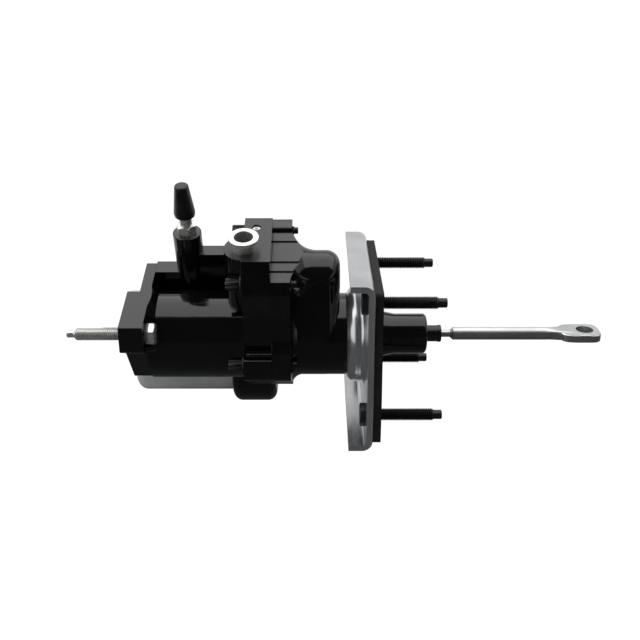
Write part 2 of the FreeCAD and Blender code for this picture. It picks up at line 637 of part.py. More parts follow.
def mounting_bracket():
    """A folded channel: plate, two flanges and a drawn cup in the middle."""
    front_x = PLATE_REAR_X - BRACKET_DEPTH
    outer = [(front_x, BRACKET_TOP_Z, 0), (PLATE_REAR_X, BRACKET_TOP_Z, BRACKET_BEND_R)]
    outer += [(PLATE_REAR_X, BRACKET_BOTTOM_Z, BRACKET_BEND_R), (front_x, BRACKET_BOTTOM_Z, 0)]
    inner_r = BRACKET_BEND_R - BRACKET_T
    inner = [(front_x, BRACKET_BOTTOM_Z + BRACKET_T, 0), (PLATE_FRONT_X, BRACKET_BOTTOM_Z + BRACKET_T, inner_r)]
    inner += [(PLATE_FRONT_X, BRACKET_TOP_Z - BRACKET_T, inner_r), (front_x, BRACKET_TOP_Z - BRACKET_T, 0)]
    width = BRACKET_BOTTOM_HALF + 5
    wire = rounded_wire(outer + inner, lambda a, b: Vector(a, -width, b))
    channel = Part.Face(wire).extrude(Vector(0, 2 * width, 0))
    blank = tapered_outline(BRACKET_TOP_HALF, BRACKET_BOTTOM_HALF, BRACKET_TOP_Z + 5, BRACKET_BOTTOM_Z - 5, 4)
    channel = channel.common(prism(blank, front_x - 1, PLATE_REAR_X + 1))
    channel = channel.cut(shaft(PLATE_FRONT_X - 1, PLATE_REAR_X + 1, CUP_R + CUP_ROOT_R))
    cup_in = CUP_FRONT_X + BRACKET_T
    wall_in = CUP_R - BRACKET_T
    root = CUP_ROOT_R
    profile = [(CUP_FRONT_X, HUB_THREAD_R + HOLE_CLEARANCE, 0), (CUP_FRONT_X, CUP_R, CUP_CORNER_R)]
    profile += [(PLATE_FRONT_X, CUP_R, root * 0.9), (PLATE_FRONT_X, CUP_R + root, 0)]
    profile += [(PLATE_REAR_X, CUP_R + root, 0), (PLATE_REAR_X, wall_in, root * 1.6)]
    profile += [(cup_in, wall_in, CUP_CORNER_R - BRACKET_T), (cup_in, HUB_THREAD_R + HOLE_CLEARANCE, 0)]
    cup = turned(profile)
    whole = joined([channel, cup])
    hole_r = STUD_NECK_R + THREAD_CLEARANCE
    holes = [shaft(PLATE_FRONT_X - 1, PLATE_REAR_X + 1, hole_r, y, z) for y, z in stud_places()]
    return whole.cut(holes)


def firewall_gasket():
    outline = tapered_outline(GASKET_TOP_HALF, GASKET_BOTTOM_HALF, GASKET_TOP_Z, GASKET_BOTTOM_Z, GASKET_CORNER_R)
    pad = prism(outline, PLATE_REAR_X, 0)
    tools = [shaft(PLATE_REAR_X - 1, 1, GASKET_HOLE_R)]
    tools += [shaft(PLATE_REAR_X - 1, 1, STUD_NECK_R + HOLE_CLEARANCE, y, z) for y, z in stud_places()]
    return pad.cut(tools)


def firewall_studs():
    studs = []
    for y, z in stud_places():
        profile = [(PLATE_FRONT_X - STUD_HEAD_T, 0, 0), (PLATE_FRONT_X - STUD_HEAD_T, STUD_HEAD_R, 0.8)]
        profile += [(PLATE_FRONT_X, STUD_HEAD_R, 0.5), (PLATE_FRONT_X, STUD_NECK_R, 0)]
        profile += [(0, STUD_NECK_R, 0), (0, STUD_R, 0)]
        profile += [(STUD_TIP_X - STUD_POINT_L - 1.3, STUD_R, 0), (STUD_TIP_X - STUD_POINT_L, STUD_POINT_R, 0)]
        profile += [(STUD_TIP_X, STUD_POINT_R, 0.6), (STUD_TIP_X, 0, 0)]
        studs.append(turned(profile, y, z))
    return studs


def bracket_nut():
    front = CUP_FRONT_X + BRACKET_T
    nut = ring(front, front + NUT_T, HUB_THREAD_R + THREAD_CLEARANCE, NUT_R)
    slot = Part.makeBox(NUT_T, NUT_SLOT_W, NUT_SLOT_DEPTH + 2,
                        Vector(front, -NUT_SLOT_W / 2, NUT_R - NUT_SLOT_DEPTH))
    slots = [slot.rotated(Vector(0, 0, 0), AXIS_X, 360.0 * i / NUT_SLOTS) for i in range(NUT_SLOTS)]
    return nut.cut(slots)


def cover_screws():
    """Flange screws with six-lobed heads, from the front through the housing into the cover."""
    screws = []
    for y, z in FLANGE_SCREWS:
        front = FLANGE_FRONT_X - SCREW_FLANGE_T
        washer = turned([(front, 0, 0), (front, SCREW_HEAD_R + 1, 0), (front + 0.9, SCREW_FLANGE_R, 0),
                         (FLANGE_FRONT_X, SCREW_FLANGE_R, 0), (FLANGE_FRONT_X, 0, 0)], y, z)
        head = shaft(front - SCREW_HEAD_T + 0.01, front, SCREW_HEAD_R, y, z, 0.5)
        lobes = []
        for i in range(SCREW_LOBES):
            turn = 2 * math.pi * i / SCREW_LOBES
            lobe_y = y + SCREW_HEAD_R * math.cos(turn)
            lobe_z = z + SCREW_HEAD_R * math.sin(turn)
            lobes.append(shaft(front - SCREW_HEAD_T - 1, front - 1, SCREW_LOBE_R, lobe_y, lobe_z))
        shank = turned([(FLANGE_FRONT_X, 0, 0), (FLANGE_FRONT_X, FLANGE_SCREW_R, 0),
                        (SCREW_TIP_X - SCREW_POINT_L - 1, FLANGE_SCREW_R, 0),
                        (SCREW_TIP_X - SCREW_POINT_L, SCREW_POINT_R, 0),
                        (SCREW_TIP_X, SCREW_POINT_R, 0.4), (SCREW_TIP_X, 0, 0)], y, z)
        screws.append(joined([head.cut(lobes), washer, shank]))
    return screws


def master_cylinder_bolts():
    bolts = []
    for y, z in bolt_places():
        head = hexagon_bar(MC_HEAD_AF, MC_HEAD_T)
        head.rotate(Vector(0, 0, 0), Vector(0, 1, 0), 90)
        head.translate(Vector(FRONT_FLANGE_REAR_X, y, z))
        point = MC_BOLT_TIP_X + MC_POINT_L
        neck_x = EAR_PAD_X + NECK_SET_BACK
        profile = [(FRONT_FLANGE_REAR_X, 0, 0), (FRONT_FLANGE_REAR_X, MC_NECK_R, 0), (neck_x, MC_NECK_R, 0)]
        profile += [(neck_x, STUD_R, 0), (point + 1.5, STUD_R, 0), (point, MC_POINT_R, 0)]
        profile += [(MC_BOLT_TIP_X, MC_POINT_R, 0.8), (MC_BOLT_TIP_X, 0, 0)]
        shank = turned(profile, y, z)
        bolts.append(joined([head, shank]))
    return bolts


def pressure_port_fitting():
    top = PORT_FACE_V + FITTING_STAND
    profile = [(FITTING_BORE_R, PORT_FACE_V - PORT_BORE_DEPTH + 1, 0)]
    profile += [(FITTING_THREAD_R, PORT_FACE_V - PORT_BORE_DEPTH + 1, 0), (FITTING_THREAD_R, PORT_FACE_V, 0)]
    profile += [(FITTING_BODY_R, PORT_FACE_V, 0), (FITTING_BODY_R, top - FITTING_RIM_T - 1.2, 0)]
    profile += [(FITTING_RIM_R, top - FITTING_RIM_T, 0), (FITTING_RIM_R, top, 0.5), (FITTING_BORE_R, top, 0.5)]
    return upright(profile, PORT_X, PORT_H)


def port_o_ring():
    ring_shape = Part.makeTorus(FITTING_THREAD_R + 0.55, 0.45, Vector(PORT_X, PORT_H, PORT_FACE_V - 0.6),
                                Vector(0, 0, 1))
    return lean(ring_shape)


def gallery_plug():
    low = PORT_FACE_V - GALLERY_PLUG_T - GALLERY_PLUG_RECESS
    plug = upright([(0, low, 0), (GALLERY_PLUG_R, low, 0), (GALLERY_PLUG_R, low + GALLERY_PLUG_T, 0.6),
                    (0, low + GALLERY_PLUG_T, 0)], GALLERY_PLUG_X, GALLERY_PLUG_H)
    socket = hexagon_bar(2.5, 2.0)
    socket.translate(Vector(GALLERY_PLUG_X, GALLERY_PLUG_H, low + GALLERY_PLUG_T - 1.9))
    return plug.cut(lean(socket))


def return_nipple():
    start = FAR_PORT_FACE_Y - 2 - RETURN_SEAT_L
    end = FAR_PORT_FACE_Y + RETURN_STAND
    bead = FAR_PORT_FACE_Y + RETURN_BEAD_STAND
    stop = bead + RETURN_BEAD_L
    outline = [(RETURN_BORE_R, start, 0), (RETURN_SEAT_R, start, 0), (RETURN_SEAT_R, bead, 0)]
    outline += [(RETURN_BEAD_R, bead, 0.5), (RETURN_BEAD_R, stop, 0.5), (RETURN_R, stop, 0)]
    outline += [(RETURN_R, end - RETURN_NOSE, 0), (RETURN_R - RETURN_NOSE, end, 0), (RETURN_BORE_R, end, 0)]
    wire = rounded_wire(outline, lambda a, b: Vector(FAR_PORT_X + a, b, RETURN_Z))
    return Part.Face(wire).revolve(Vector(FAR_PORT_X, 0, RETURN_Z), Vector(0, 1, 0), 360)


def bleeder_screw():
    base = BLEEDER_BOSS_V
    seat = base - BLEEDER_THREAD_L + 1
    hex_top = base + 0.4 + BLEEDER_HEX_T
    shank_top = hex_top + BLEEDER_SHANK_L
    tip = shank_top + BLEEDER_NIPPLE_L
    lower = upright([(0, seat, 0), (1.5, seat, 0), (BLEEDER_THREAD_R, seat + 4, 0), (BLEEDER_THREAD_R, base + 0.4, 0),
                     (0, base + 0.4, 0)], BLEEDER_X, BLEEDER_H)
    nut = hexagon_bar(BLEEDER_HEX_AF, BLEEDER_HEX_T)
    nut.translate(Vector(BLEEDER_X, BLEEDER_H, base + 0.4))
    upper = upright([(0, hex_top, 0), (BLEEDER_SHANK_R, hex_top, 0), (BLEEDER_SHANK_R, shank_top, 0),
                     (BLEEDER_NIPPLE_R - 0.5, shank_top, 0), (BLEEDER_NIPPLE_R - 0.5, tip - 7, 0),
                     (BLEEDER_NIPPLE_R, tip - 6, 0), (BLEEDER_NIPPLE_R - 1, tip, 0), (0, tip, 0)],
                    BLEEDER_X, BLEEDER_H)
    bore = post(BLEEDER_X, BLEEDER_H, seat + 8, tip + 1, BLEEDER_BORE_R)
    return joined([lower, lean(nut), upper]).cut(bore)


def bleeder_cap():
    low = BLEEDER_BOSS_V + 0.4 + BLEEDER_HEX_T + BLEEDER_SHANK_L + 0.2
    top = low + CAP_L
    hole_r = BLEEDER_NIPPLE_R + HOLE_CLEARANCE
    hole_top = low + BLEEDER_NIPPLE_L + 0.5
    profile = [(hole_r, low, 0), (CAP_BASE_R - 0.4, low, 0.4), (CAP_BASE_R, low + CAP_LIP_L, 0.8)]
    profile += [(CAP_TOP_R, top, 1.6), (0, top, 0), (0, hole_top, 0), (hole_r, hole_top, 0)]
    return upright(profile, BLEEDER_X, BLEEDER_H)


def input_plunger():
    end = PLUNGER_END_X
    collar_front = LEVER_CAVITY_X - HOLE_CLEARANCE - COLLAR_T
    profile = [(PLUNGER_TIP_X, 0, 0), (PLUNGER_TIP_X, PLUNGER_TIP_R, 0.8)]
    profile += [(collar_front, PLUNGER_TIP_R, 0), (collar_front, COLLAR_R, 0.5)]
    profile += [(collar_front + COLLAR_T, COLLAR_R, 0.5), (collar_front + COLLAR_T, PLUNGER_R, 0)]
    profile += [(end - PLUNGER_BEAD_L - 0.6, PLUNGER_R, 0), (end - PLUNGER_BEAD_L, PLUNGER_BEAD_R, 0)]
    profile += [(end, PLUNGER_BEAD_R, 0.6), (end, BALL_R + SLIDE_CLEARANCE, 0)]
    profile += [(BALL_X - BALL_R - 0.1, BALL_R + SLIDE_CLEARANCE, 0), (BALL_X - BALL_R - 0.1, 0, 0)]
    return turned(profile)


def ball_retainer():
    return ring(BALL_X + BALL_R + 0.1, PLUNGER_END_X, ROD_NECK_HOLE_R, BALL_R + SLIDE_CLEARANCE)


def pedal_rod():
    ball = Part.makeSphere(BALL_R, Vector(BALL_X, 0, 0))
    bar = turned([(BALL_X, 0, 0), (BALL_X, ROD_NECK_R, 0), (ROD_CONE_X, ROD_NECK_R, 0),
                  (ROD_CONE_X + ROD_CONE_L, ROD_R, 0), (ROD_WAIST_X, ROD_R, 0), (ROD_WAIST_X, 0, 0)])
    blend_end = EYE_X - EYE_R * 0.55
    round_end = Part.Wire(Part.makeCircle(ROD_R, Vector(ROD_WAIST_X, 0, 0), AXIS_X))
    flat_end = rounded_wire([(EYE_R, EYE_T / 2, 1.2), (-EYE_R, EYE_T / 2, 1.2), (-EYE_R, -EYE_T / 2, 1.2),
                             (EYE_R, -EYE_T / 2, 1.2)], lambda a, b: Vector(blend_end, a, b))
    middle_x = ROD_WAIST_X + (blend_end - ROD_WAIST_X) * 0.55
    half_w = ROD_R + (EYE_R - ROD_R) * 0.32
    half_t = EYE_T / 2 + 0.6
    middle = rounded_wire([(half_w, half_t, 3.2), (-half_w, half_t, 3.2), (-half_w, -half_t, 3.2),
                           (half_w, -half_t, 3.2)], lambda a, b: Vector(middle_x, a, b))
    blend = Part.makeLoft([round_end, middle, flat_end], True, False)
    eye = Part.makeCylinder(EYE_R, EYE_T, Vector(EYE_X, 0, -EYE_T / 2))
    eye = eye.fuse(Part.makeBox(EYE_X - blend_end, 2 * EYE_R, EYE_T, Vector(blend_end, -EYE_R, -EYE_T / 2)))
    edges = [e for e in eye.removeSplitter().Edges if abs(abs(e.CenterOfMass.z) - EYE_T / 2) < 0.01
             and e.CenterOfMass.x > blend_end + 0.1]
    eye = eye.removeSplitter().makeFillet(1.0, edges)
    hole = Part.makeCylinder(EYE_HOLE_R, EYE_T + 2, Vector(EYE_X, 0, -EYE_T / 2 - 1))
    cone_r = EYE_HOLE_R + EYE_CHAMFER
    sinks = [Part.makeCone(cone_r, EYE_HOLE_R, EYE_CHAMFER, Vector(EYE_X, 0, -EYE_T / 2)),
             Part.makeCone(EYE_HOLE_R, cone_r, EYE_CHAMFER, Vector(EYE_X, 0, EYE_T / 2 - EYE_CHAMFER))]
    return joined([ball, bar, blend, eye]).cut([hole] + sinks)


def power_piston():
    socket_x = PLUNGER_TIP_X - REACTION_GAP
    profile = [(PISTON_FRONT_X, OUTPUT_R + SLIDE_CLEARANCE, 0), (PISTON_FRONT_X, PISTON_R, 1.0)]
    profile += [(PISTON_REAR_X, PISTON_R, 1.0), (PISTON_REAR_X, PLUNGER_R + HOLE_CLEARANCE, 0)]
    profile += [(socket_x, PLUNGER_R + HOLE_CLEARANCE, 0), (socket_x, 0, 0)]
    profile += [(PISTON_FRONT_X + OUTPUT_SOCKET_DEPTH, 0, 0)]
    profile += [(PISTON_FRONT_X + OUTPUT_SOCKET_DEPTH, OUTPUT_R + SLIDE_CLEARANCE, 0)]
    body = turned(profile)
    ears = []
    for side in (-1, 1):
        low_y = EAR_IN_Y if side > 0 else -EAR_IN_Y - EAR_T
        ear = Part.makeBox(EAR_REAR_X - PISTON_REAR_X + 1, EAR_T, 2 * EAR_HALF_Z,
                           Vector(PISTON_REAR_X - 1, low_y, -EAR_HALF_Z))
        rear_edges = [e for e in ear.Edges if abs(e.CenterOfMass.x - EAR_REAR_X) < 0.01
                      and abs(e.CenterOfMass.y - low_y - EAR_T / 2) < 0.01]
        ears.append(ear.makeFillet(EAR_HALF_Z * 0.6, rear_edges))
    hole = Part.makeCylinder(LEVER_PIN_R, 40, Vector(LEVER_PIN_X, -20, 0), Vector(0, 1, 0))
    return joined([body] + ears).cut(hole)


def lever_pins():
    pins = []
    for side in (-1, 1):
        start = Vector(LEVER_PIN_X, side * (LEVER_ARM_IN_Y - 0.1), 0)
        length = EAR_IN_Y + EAR_T - LEVER_ARM_IN_Y + 0.1
        pins.append(Part.makeCylinder(LEVER_PIN_R, length, start, Vector(0, side, 0)))
    return pins


def piston_seal():
    return ring(PISTON_SEAL_X - PISTON_SEAL_W / 2, PISTON_SEAL_X + PISTON_SEAL_W / 2, POWER_BORE_R,
                POWER_BORE_R + PISTON_SEAL_DEPTH - 0.1)


def control_lever():
    """Two slotted arms joined by a bridge, leaning back at rest to reach the spool."""
    slot_half = LINK_PIN_R + LINK_PLAY
    shapes = []
    for side in (-1, 1):
        low_y = LEVER_ARM_IN_Y if side > 0 else -LEVER_ARM_IN_Y - LEVER_ARM_T
        half = LEVER_W / 2
        head = LEVER_HEAD_W / 2
        outline = [(-half, -half, half * 0.9), (half, -half, half * 0.9), (half, LEVER_SLOT_IN - 8, 2)]
        outline += [(head, LEVER_SLOT_IN - 3, 2), (head, LEVER_L, 4), (-head, LEVER_L, 4)]
        outline += [(-head, LEVER_SLOT_IN - 3, 2), (-half, LEVER_SLOT_IN - 8, 2)]
        wire = rounded_wire(outline, lambda a, b: Vector(a, low_y, b))
        arm = Part.Face(wire).extrude(Vector(0, LEVER_ARM_T, 0))
        slot = Part.makeBox(2 * slot_half, LEVER_ARM_T + 2, LEVER_L - LEVER_SLOT_IN + 5,
                            Vector(-slot_half, low_y - 1, LEVER_SLOT_IN))
        shapes.append(arm.cut(slot))
    bridge = Part.makeBox(4.0, 2 * LEVER_ARM_IN_Y + 0.02, LEVER_BRIDGE_L,
                          Vector(-2.0, -LEVER_ARM_IN_Y - 0.01, LEVER_BRIDGE_IN))
    lever = joined(shapes + [bridge])
    bore = Part.makeCylinder(LEVER_PIN_R + SLIDE_CLEARANCE, 60, Vector(0, -30, 0), Vector(0, 1, 0))
    lever = lever.cut(bore)
    rest_turn = math.degrees(math.atan2(LINK_PIN_X - LEVER_PIN_X, SPOOL_Z))
    lever.rotate(Vector(0, 0, 0), Vector(0, 1, 0), rest_turn)
    lever.translate(Vector(LEVER_PIN_X, 0, 0))
    return lever


def spool_sleeve():
    sleeve = ring(SLEEVE_FRONT_X, JOINT_X, SLEEVE_IN_R, SPOOL_BORE_R, 0, SPOOL_Z)
    middle = (SLEEVE_FRONT_X + JOINT_X) / 2
    groove = ring(middle - 1.2, middle + 1.2, SPOOL_BORE_R - 1, SPOOL_BORE_R + 1, 0, SPOOL_Z)
    port = Part.makeCylinder(1.0, 30, Vector(middle, 0, SPOOL_Z - 15))
    return sleeve.cut([groove, port])


def spool_valve():
    radius = SLEEVE_IN_R - 0.03
    groove = SPOOL_LAND_GROOVE_R
    profile = [(SPOOL_FRONT_X, 0, 0), (SPOOL_FRONT_X, radius, 0.4), (-89.6, radius, 0), (-89.6, groove, 0)]
    profile += [(-87.4, groove, 0), (-87.4, radius, 0), (-82.0, radius, 0), (-82.0, groove, 0), (-71.0, groove, 0)]
    profile += [(-71.0, radius, 0), (SPOOL_REAR_X, radius, 1), (SPOOL_REAR_X, 0, 0)]
    spool = turned(profile, 0, SPOOL_Z)
    return spool.cut(Part.makeCylinder(LINK_PIN_R, 40, Vector(LINK_PIN_X, -20, SPOOL_Z), Vector(0, 1, 0)))


def spool_link_pin():
    reach = LEVER_ARM_IN_Y + LEVER_ARM_T + 1.0
    return Part.makeCylinder(LINK_PIN_R, 2 * reach, Vector(LINK_PIN_X, -reach, SPOOL_Z), Vector(0, 1, 0))


def spool_plug():
    front = FLANGE_FRONT_X + 0.7 + SNAP_RING_T
    rear = SLEEVE_FRONT_X - 0.2
    plug = shaft(front, rear, SPOOL_BORE_R - 0.04, 0, SPOOL_Z)
    middle = (front + rear) / 2
    groove = ring(middle - RING_GROOVE_W / 2, middle + RING_GROOVE_W / 2, SPOOL_BORE_R - 2.0, SPOOL_BORE_R + 1, 0, SPOOL_Z)
    return plug.cut(groove)


def spool_plug_o_ring():
    front = FLANGE_FRONT_X + 0.7 + SNAP_RING_T
    rear = SLEEVE_FRONT_X - 0.2
    return o_ring((front + rear) / 2, SPOOL_BORE_R - 0.02 - RING_WIRE_R, 0, SPOOL_Z)


def spool_plug_ring():
    """A snap ring, open at the bottom."""
    front = FLANGE_FRONT_X + 0.65
    whole = ring(front, front + SNAP_RING_T, SNAP_RING_R - 2.4, SNAP_RING_R - 0.05, 0, SPOOL_Z)
    return whole.cut(Part.makeBox(SNAP_RING_T + 2, 4, 12, Vector(front - 1, -2, SPOOL_Z - 12)))


def spring_retainer():
    return ring(RETAINER_REAR_X - RETAINER_T, RETAINER_REAR_X, RETAINER_HOLE_R, PILOT_R - SLIDE_CLEARANCE)


def output_rod():
    seat = PISTON_FRONT_X + OUTPUT_SOCKET_DEPTH
    return turned([(OUTPUT_TIP_X, 0, 0), (OUTPUT_TIP_X, OUTPUT_R, 2.6), (seat, OUTPUT_R, 1.0), (seat, 0, 0)])


def output_rod_clip():
    """A star washer that keeps the output rod in the piston."""
    clip = ring(PISTON_FRONT_X - OUTPUT_CLIP_T, PISTON_FRONT_X, OUTPUT_R + SLIDE_CLEARANCE, OUTPUT_CLIP_R)
    notch = Part.makeBox(OUTPUT_CLIP_T, 3.0, 5.0, Vector(PISTON_FRONT_X - OUTPUT_CLIP_T, -1.5, OUTPUT_CLIP_R - 3.0))
    return clip.cut([notch.rotated(Vector(0, 0, 0), AXIS_X, 60.0 * i) for i in range(6)])


def accumulator_can():
    inner = CAN_R - CAN_WALL
    flange_x = CAN_REAR_X - CAN_FLANGE_L
    profile = [(CAN_FRONT_X, 0, 0), (CAN_FRONT_X, CAN_R, CAN_CORNER_R), (flange_x, CAN_R, 0)]
    profile += [(flange_x, CAN_FLANGE_R, 0), (CAN_REAR_X, CAN_FLANGE_R, 0), (CAN_REAR_X, inner, 0)]
    profile += [(CAN_FRONT_X + CAN_WALL, inner, CAN_CORNER_R - CAN_WALL), (CAN_FRONT_X + CAN_WALL, 0, 0)]
    can = turned(profile, CAN_Y, CAN_Z)
    middle = CAN_REAR_X - CAN_FLANGE_L / 2
    groove = ring(middle - RING_GROOVE_W / 2, middle + RING_GROOVE_W / 2, CAN_FLANGE_R - 2.0, CAN_FLANGE_R + 1, CAN_Y, CAN_Z)
    return can.cut(groove)


def accumulator_o_ring():
    middle = CAN_REAR_X - CAN_FLANGE_L / 2
    return o_ring(middle, CAN_FLANGE_R - RING_WIRE_R + 0.05, CAN_Y, CAN_Z)


def accumulator_ring():
    rear = CAN_REAR_X - CAN_FLANGE_L - 0.1
    whole = ring(rear - CAN_RING_T, rear, CAN_R + 0.2, CAN_RING_R - 0.05, CAN_Y, CAN_Z)
    return whole.cut(Part.makeBox(CAN_RING_T + 2, 8, 40, Vector(rear - CAN_RING_T - 1, CAN_Y - 4, CAN_Z - 40)))


def accumulator_piston():
    radius = CAN_R - CAN_WALL - SLIDE_CLEARANCE
    rear = ACC_PISTON_REAR_X
    front = rear - ACC_PISTON_L
    profile = [(front, 0, 0), (front, radius, 0.8), (rear, radius, 0.8), (rear, radius - 4, 0)]
    profile += [(rear - 10, radius - 5, 2), (rear - 10, 0, 0)]
    piston = turned(profile, CAN_Y, CAN_Z)
    middle = front + 4
    groove = ring(middle - RING_GROOVE_W / 2, middle + RING_GROOVE_W / 2, radius - 1.9, radius + 1, CAN_Y, CAN_Z)
    return piston.cut(groove)


def accumulator_piston_seal():
    radius = CAN_R - CAN_WALL - SLIDE_CLEARANCE
    return o_ring(ACC_PISTON_REAR_X - ACC_PISTON_L + 4, radius - RING_WIRE_R, CAN_Y, CAN_Z)


def accumulator_valve():
    body = shaft(BOSS_FLOOR_X - 3, BOSS_FLOOR_X + VALVE_L, VALVE_R, CAN_Y, CAN_Z, 0.5)
    return body.cut(shaft(BOSS_FLOOR_X - 4, BOSS_FLOOR_X + 2, 2.0, CAN_Y, CAN_Z))


NODES = {
    "housing": housing,
    "rear_cover": rear_cover,
    "joint_seal": joint_seal,
    "cover_screws": cover_screws,
    "input_seal": input_seal,
    "mounting_bracket": mounting_bracket,
    "bracket_nut": bracket_nut,
    "firewall_gasket": firewall_gasket,
    "firewall_studs": firewall_studs,
    "master_cylinder_bolts": master_cylinder_bolts,
    "pressure_port_fitting": pressure_port_fitting,
    "port_o_ring": port_o_ring,
    "gallery_plug": gallery_plug,
    "return_nipple": return_nipple,
    "bleeder_screw": bleeder_screw,
    "bleeder_cap": bleeder_cap,
    "input_plunger": input_plunger,
    "ball_retainer": ball_retainer,
    "pedal_rod": pedal_rod,
    "power_piston": power_piston,
    "lever_pins": lever_pins,
    "piston_seal": piston_seal,
    "control_lever": control_lever,
    "spool_sleeve": spool_sleeve,
    "spool_valve": spool_valve,
    "spool_link_pin": spool_link_pin,
    "spool_spring": lambda: coil_spring(SLEEVE_FRONT_X, SPOOL_FRONT_X, SPOOL_COIL_R, SPOOL_WIRE_R,
                                        SPOOL_TURNS, 0, SPOOL_Z),
    "spool_plug": spool_plug,
    "spool_plug_o_ring": spool_plug_o_ring,
    "spool_plug_ring": spool_plug_ring,
    "piston_return_spring": lambda: coil_spring(RETAINER_REAR_X, PISTON_FRONT_X, RETURN_COIL_R,
                                                RETURN_WIRE_R, RETURN_TURNS),
    "spring_retainer": spring_retainer,
    "output_rod": output_rod,
    "output_rod_clip": output_rod_clip,
    "accumulator_can": accumulator_can,
    "accumulator_o_ring": accumulator_o_ring,
    "accumulator_ring": accumulator_ring,
    "accumulator_piston": accumulator_piston,
    "accumulator_piston_seal": accumulator_piston_seal,
    "accumulator_valve": accumulator_valve,
}


def main():
    os.makedirs("parts", exist_ok=True)
    for name, make in NODES.items():
        shape = make()
        solids = shape if isinstance(shape, list) else [shape]
        flat = [solid for piece in solids for solid in piece.Solids]
        node = flat[0] if len(flat) == 1 else Part.makeCompound(flat)
        node.exportStep("parts/" + name + ".step")
        valid = all(solid.isValid() for solid in flat)
        print(name, "solids", len(flat), "valid", valid, "volume", round(node.Volume))


main()
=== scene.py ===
import json
import math

import bmesh
import bpy
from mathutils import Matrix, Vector


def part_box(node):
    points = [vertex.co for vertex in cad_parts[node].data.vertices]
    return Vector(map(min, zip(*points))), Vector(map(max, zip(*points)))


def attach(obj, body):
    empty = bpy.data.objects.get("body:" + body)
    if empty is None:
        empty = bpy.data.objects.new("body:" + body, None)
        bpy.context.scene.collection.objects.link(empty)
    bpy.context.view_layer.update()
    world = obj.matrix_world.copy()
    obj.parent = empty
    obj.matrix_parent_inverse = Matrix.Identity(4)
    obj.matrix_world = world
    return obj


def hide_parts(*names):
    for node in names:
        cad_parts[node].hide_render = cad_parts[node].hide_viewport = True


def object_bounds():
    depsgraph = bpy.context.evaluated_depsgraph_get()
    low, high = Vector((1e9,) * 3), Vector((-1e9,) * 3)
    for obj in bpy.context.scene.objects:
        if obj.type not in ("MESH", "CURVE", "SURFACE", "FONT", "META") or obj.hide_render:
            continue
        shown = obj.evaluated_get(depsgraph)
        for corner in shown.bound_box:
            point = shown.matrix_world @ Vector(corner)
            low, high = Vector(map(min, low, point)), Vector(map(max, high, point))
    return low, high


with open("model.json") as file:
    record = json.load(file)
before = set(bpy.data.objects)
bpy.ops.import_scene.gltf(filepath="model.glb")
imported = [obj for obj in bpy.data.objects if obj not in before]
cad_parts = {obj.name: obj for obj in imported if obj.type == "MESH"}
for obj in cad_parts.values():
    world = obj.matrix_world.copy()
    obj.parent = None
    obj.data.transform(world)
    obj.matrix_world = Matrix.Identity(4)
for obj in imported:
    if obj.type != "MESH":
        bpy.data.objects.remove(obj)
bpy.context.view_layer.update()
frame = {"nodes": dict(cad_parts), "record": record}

# Looks of a hydraulic brake booster, in metres, in the frame of its construction.
# +X points rearwards to the pedal, +Z is up and -Y faces the camera.

MM = 0.001
WELD = 0.001 * MM
SHARP_EDGE = math.radians(38)

# Camera of the photograph, with its lens and sensor in millimetres
CAMERA_AT = (-0.04697, -0.6388, 0.2864)
CAMERA_PITCH = math.radians(66.75)
CAMERA_LENS = 47.64
CAMERA_SENSOR = 36.0

# Studio: white to the camera. The part sees one softbox overhead, a pale wall behind it and one on
# its left, a dim room in front, and a floor that is dim near the part and bright behind it
WHITE = "#ffffff"
BACKGROUND_GLOW = 1.05
FLOOR_DROP = 1 * MM
FLOOR_HALF = 8.0
FLOOR_COLOUR = "#f0f0f0"
FLOOR_GLOSS_NEAR = 0.07
FLOOR_GLOSS_BEHIND = 0.85
FLOOR_GLOSS_EDGE = (0.06, 0.12)
SOFTBOX_HEIGHT = 1.1
SOFTBOX_SIZE = (2.4, 1.6)
SOFTBOX_Y = 0.336
SOFTBOX_POWER = 14.0
WALL_SIDE = (0.0, 0.92, 0.39)
WALL_BRIGHT = 0.75
WALL_EDGE = 0.06
ROOM_DARK = 0.035
LEFT_SIDE = (-1.0, 0.0, 0.0)
LEFT_BRIGHT = 1.2
LEFT_EDGE = (0.4, 0.6)

# Patterns: blobs of noise to a grain, and the noise values between which a pattern runs
BLOBS_TO_GRAIN = 0.5
NOISE_BAND = (0.3, 0.7)

# A pattern's scale along X, Y and Z, which draws its blobs out where the number is small
ROLLED_ALONG_Y = (1.0, 0.12, 1.0)
DRAWN_ALONG_X = (0.06, 1.0, 1.0)
TURNED_ROUND_X = (1.0, 0.08, 0.08)
PRESSED_ROUND_X = (1.0, 0.05, 0.05)

# Enamel: the casting's ports lean towards the camera by a turn about X. Faces that look up that way
# are milled, the more so the further they lie along it. There the enamel is painted a lighter
# charcoal, a painted highlight of the overhead lamp, and is rougher as a milled face
PORT_LEAN = math.radians(18.0)
MILLED_LIT_FACING = (0.975, 0.99)
MILLED_LIT_LOW = (37.0 * MM, 39.0 * MM)
MILLED_LIT_HIGH = (70.0 * MM, 84.0 * MM)
CAST_BLACK = {"tint": 14 * MM, "colours": ("#040404", "#0a0a0b"), "grain": 12 * MM, "gloss": (0.05, 0.12)}
# The lighter charcoal of the up-facing milled faces is a painted highlight; their roughness is the milled
# finish
MILLED_LIT_BLACK = {"tint": 3 * MM, "colours": ("#232323", "#292929"), "grain": 2 * MM, "gloss": (0.3, 0.38)}
ENAMEL_EDGE_R = 0.55 * MM
ENAMEL_EDGE_SAMPLES = 6

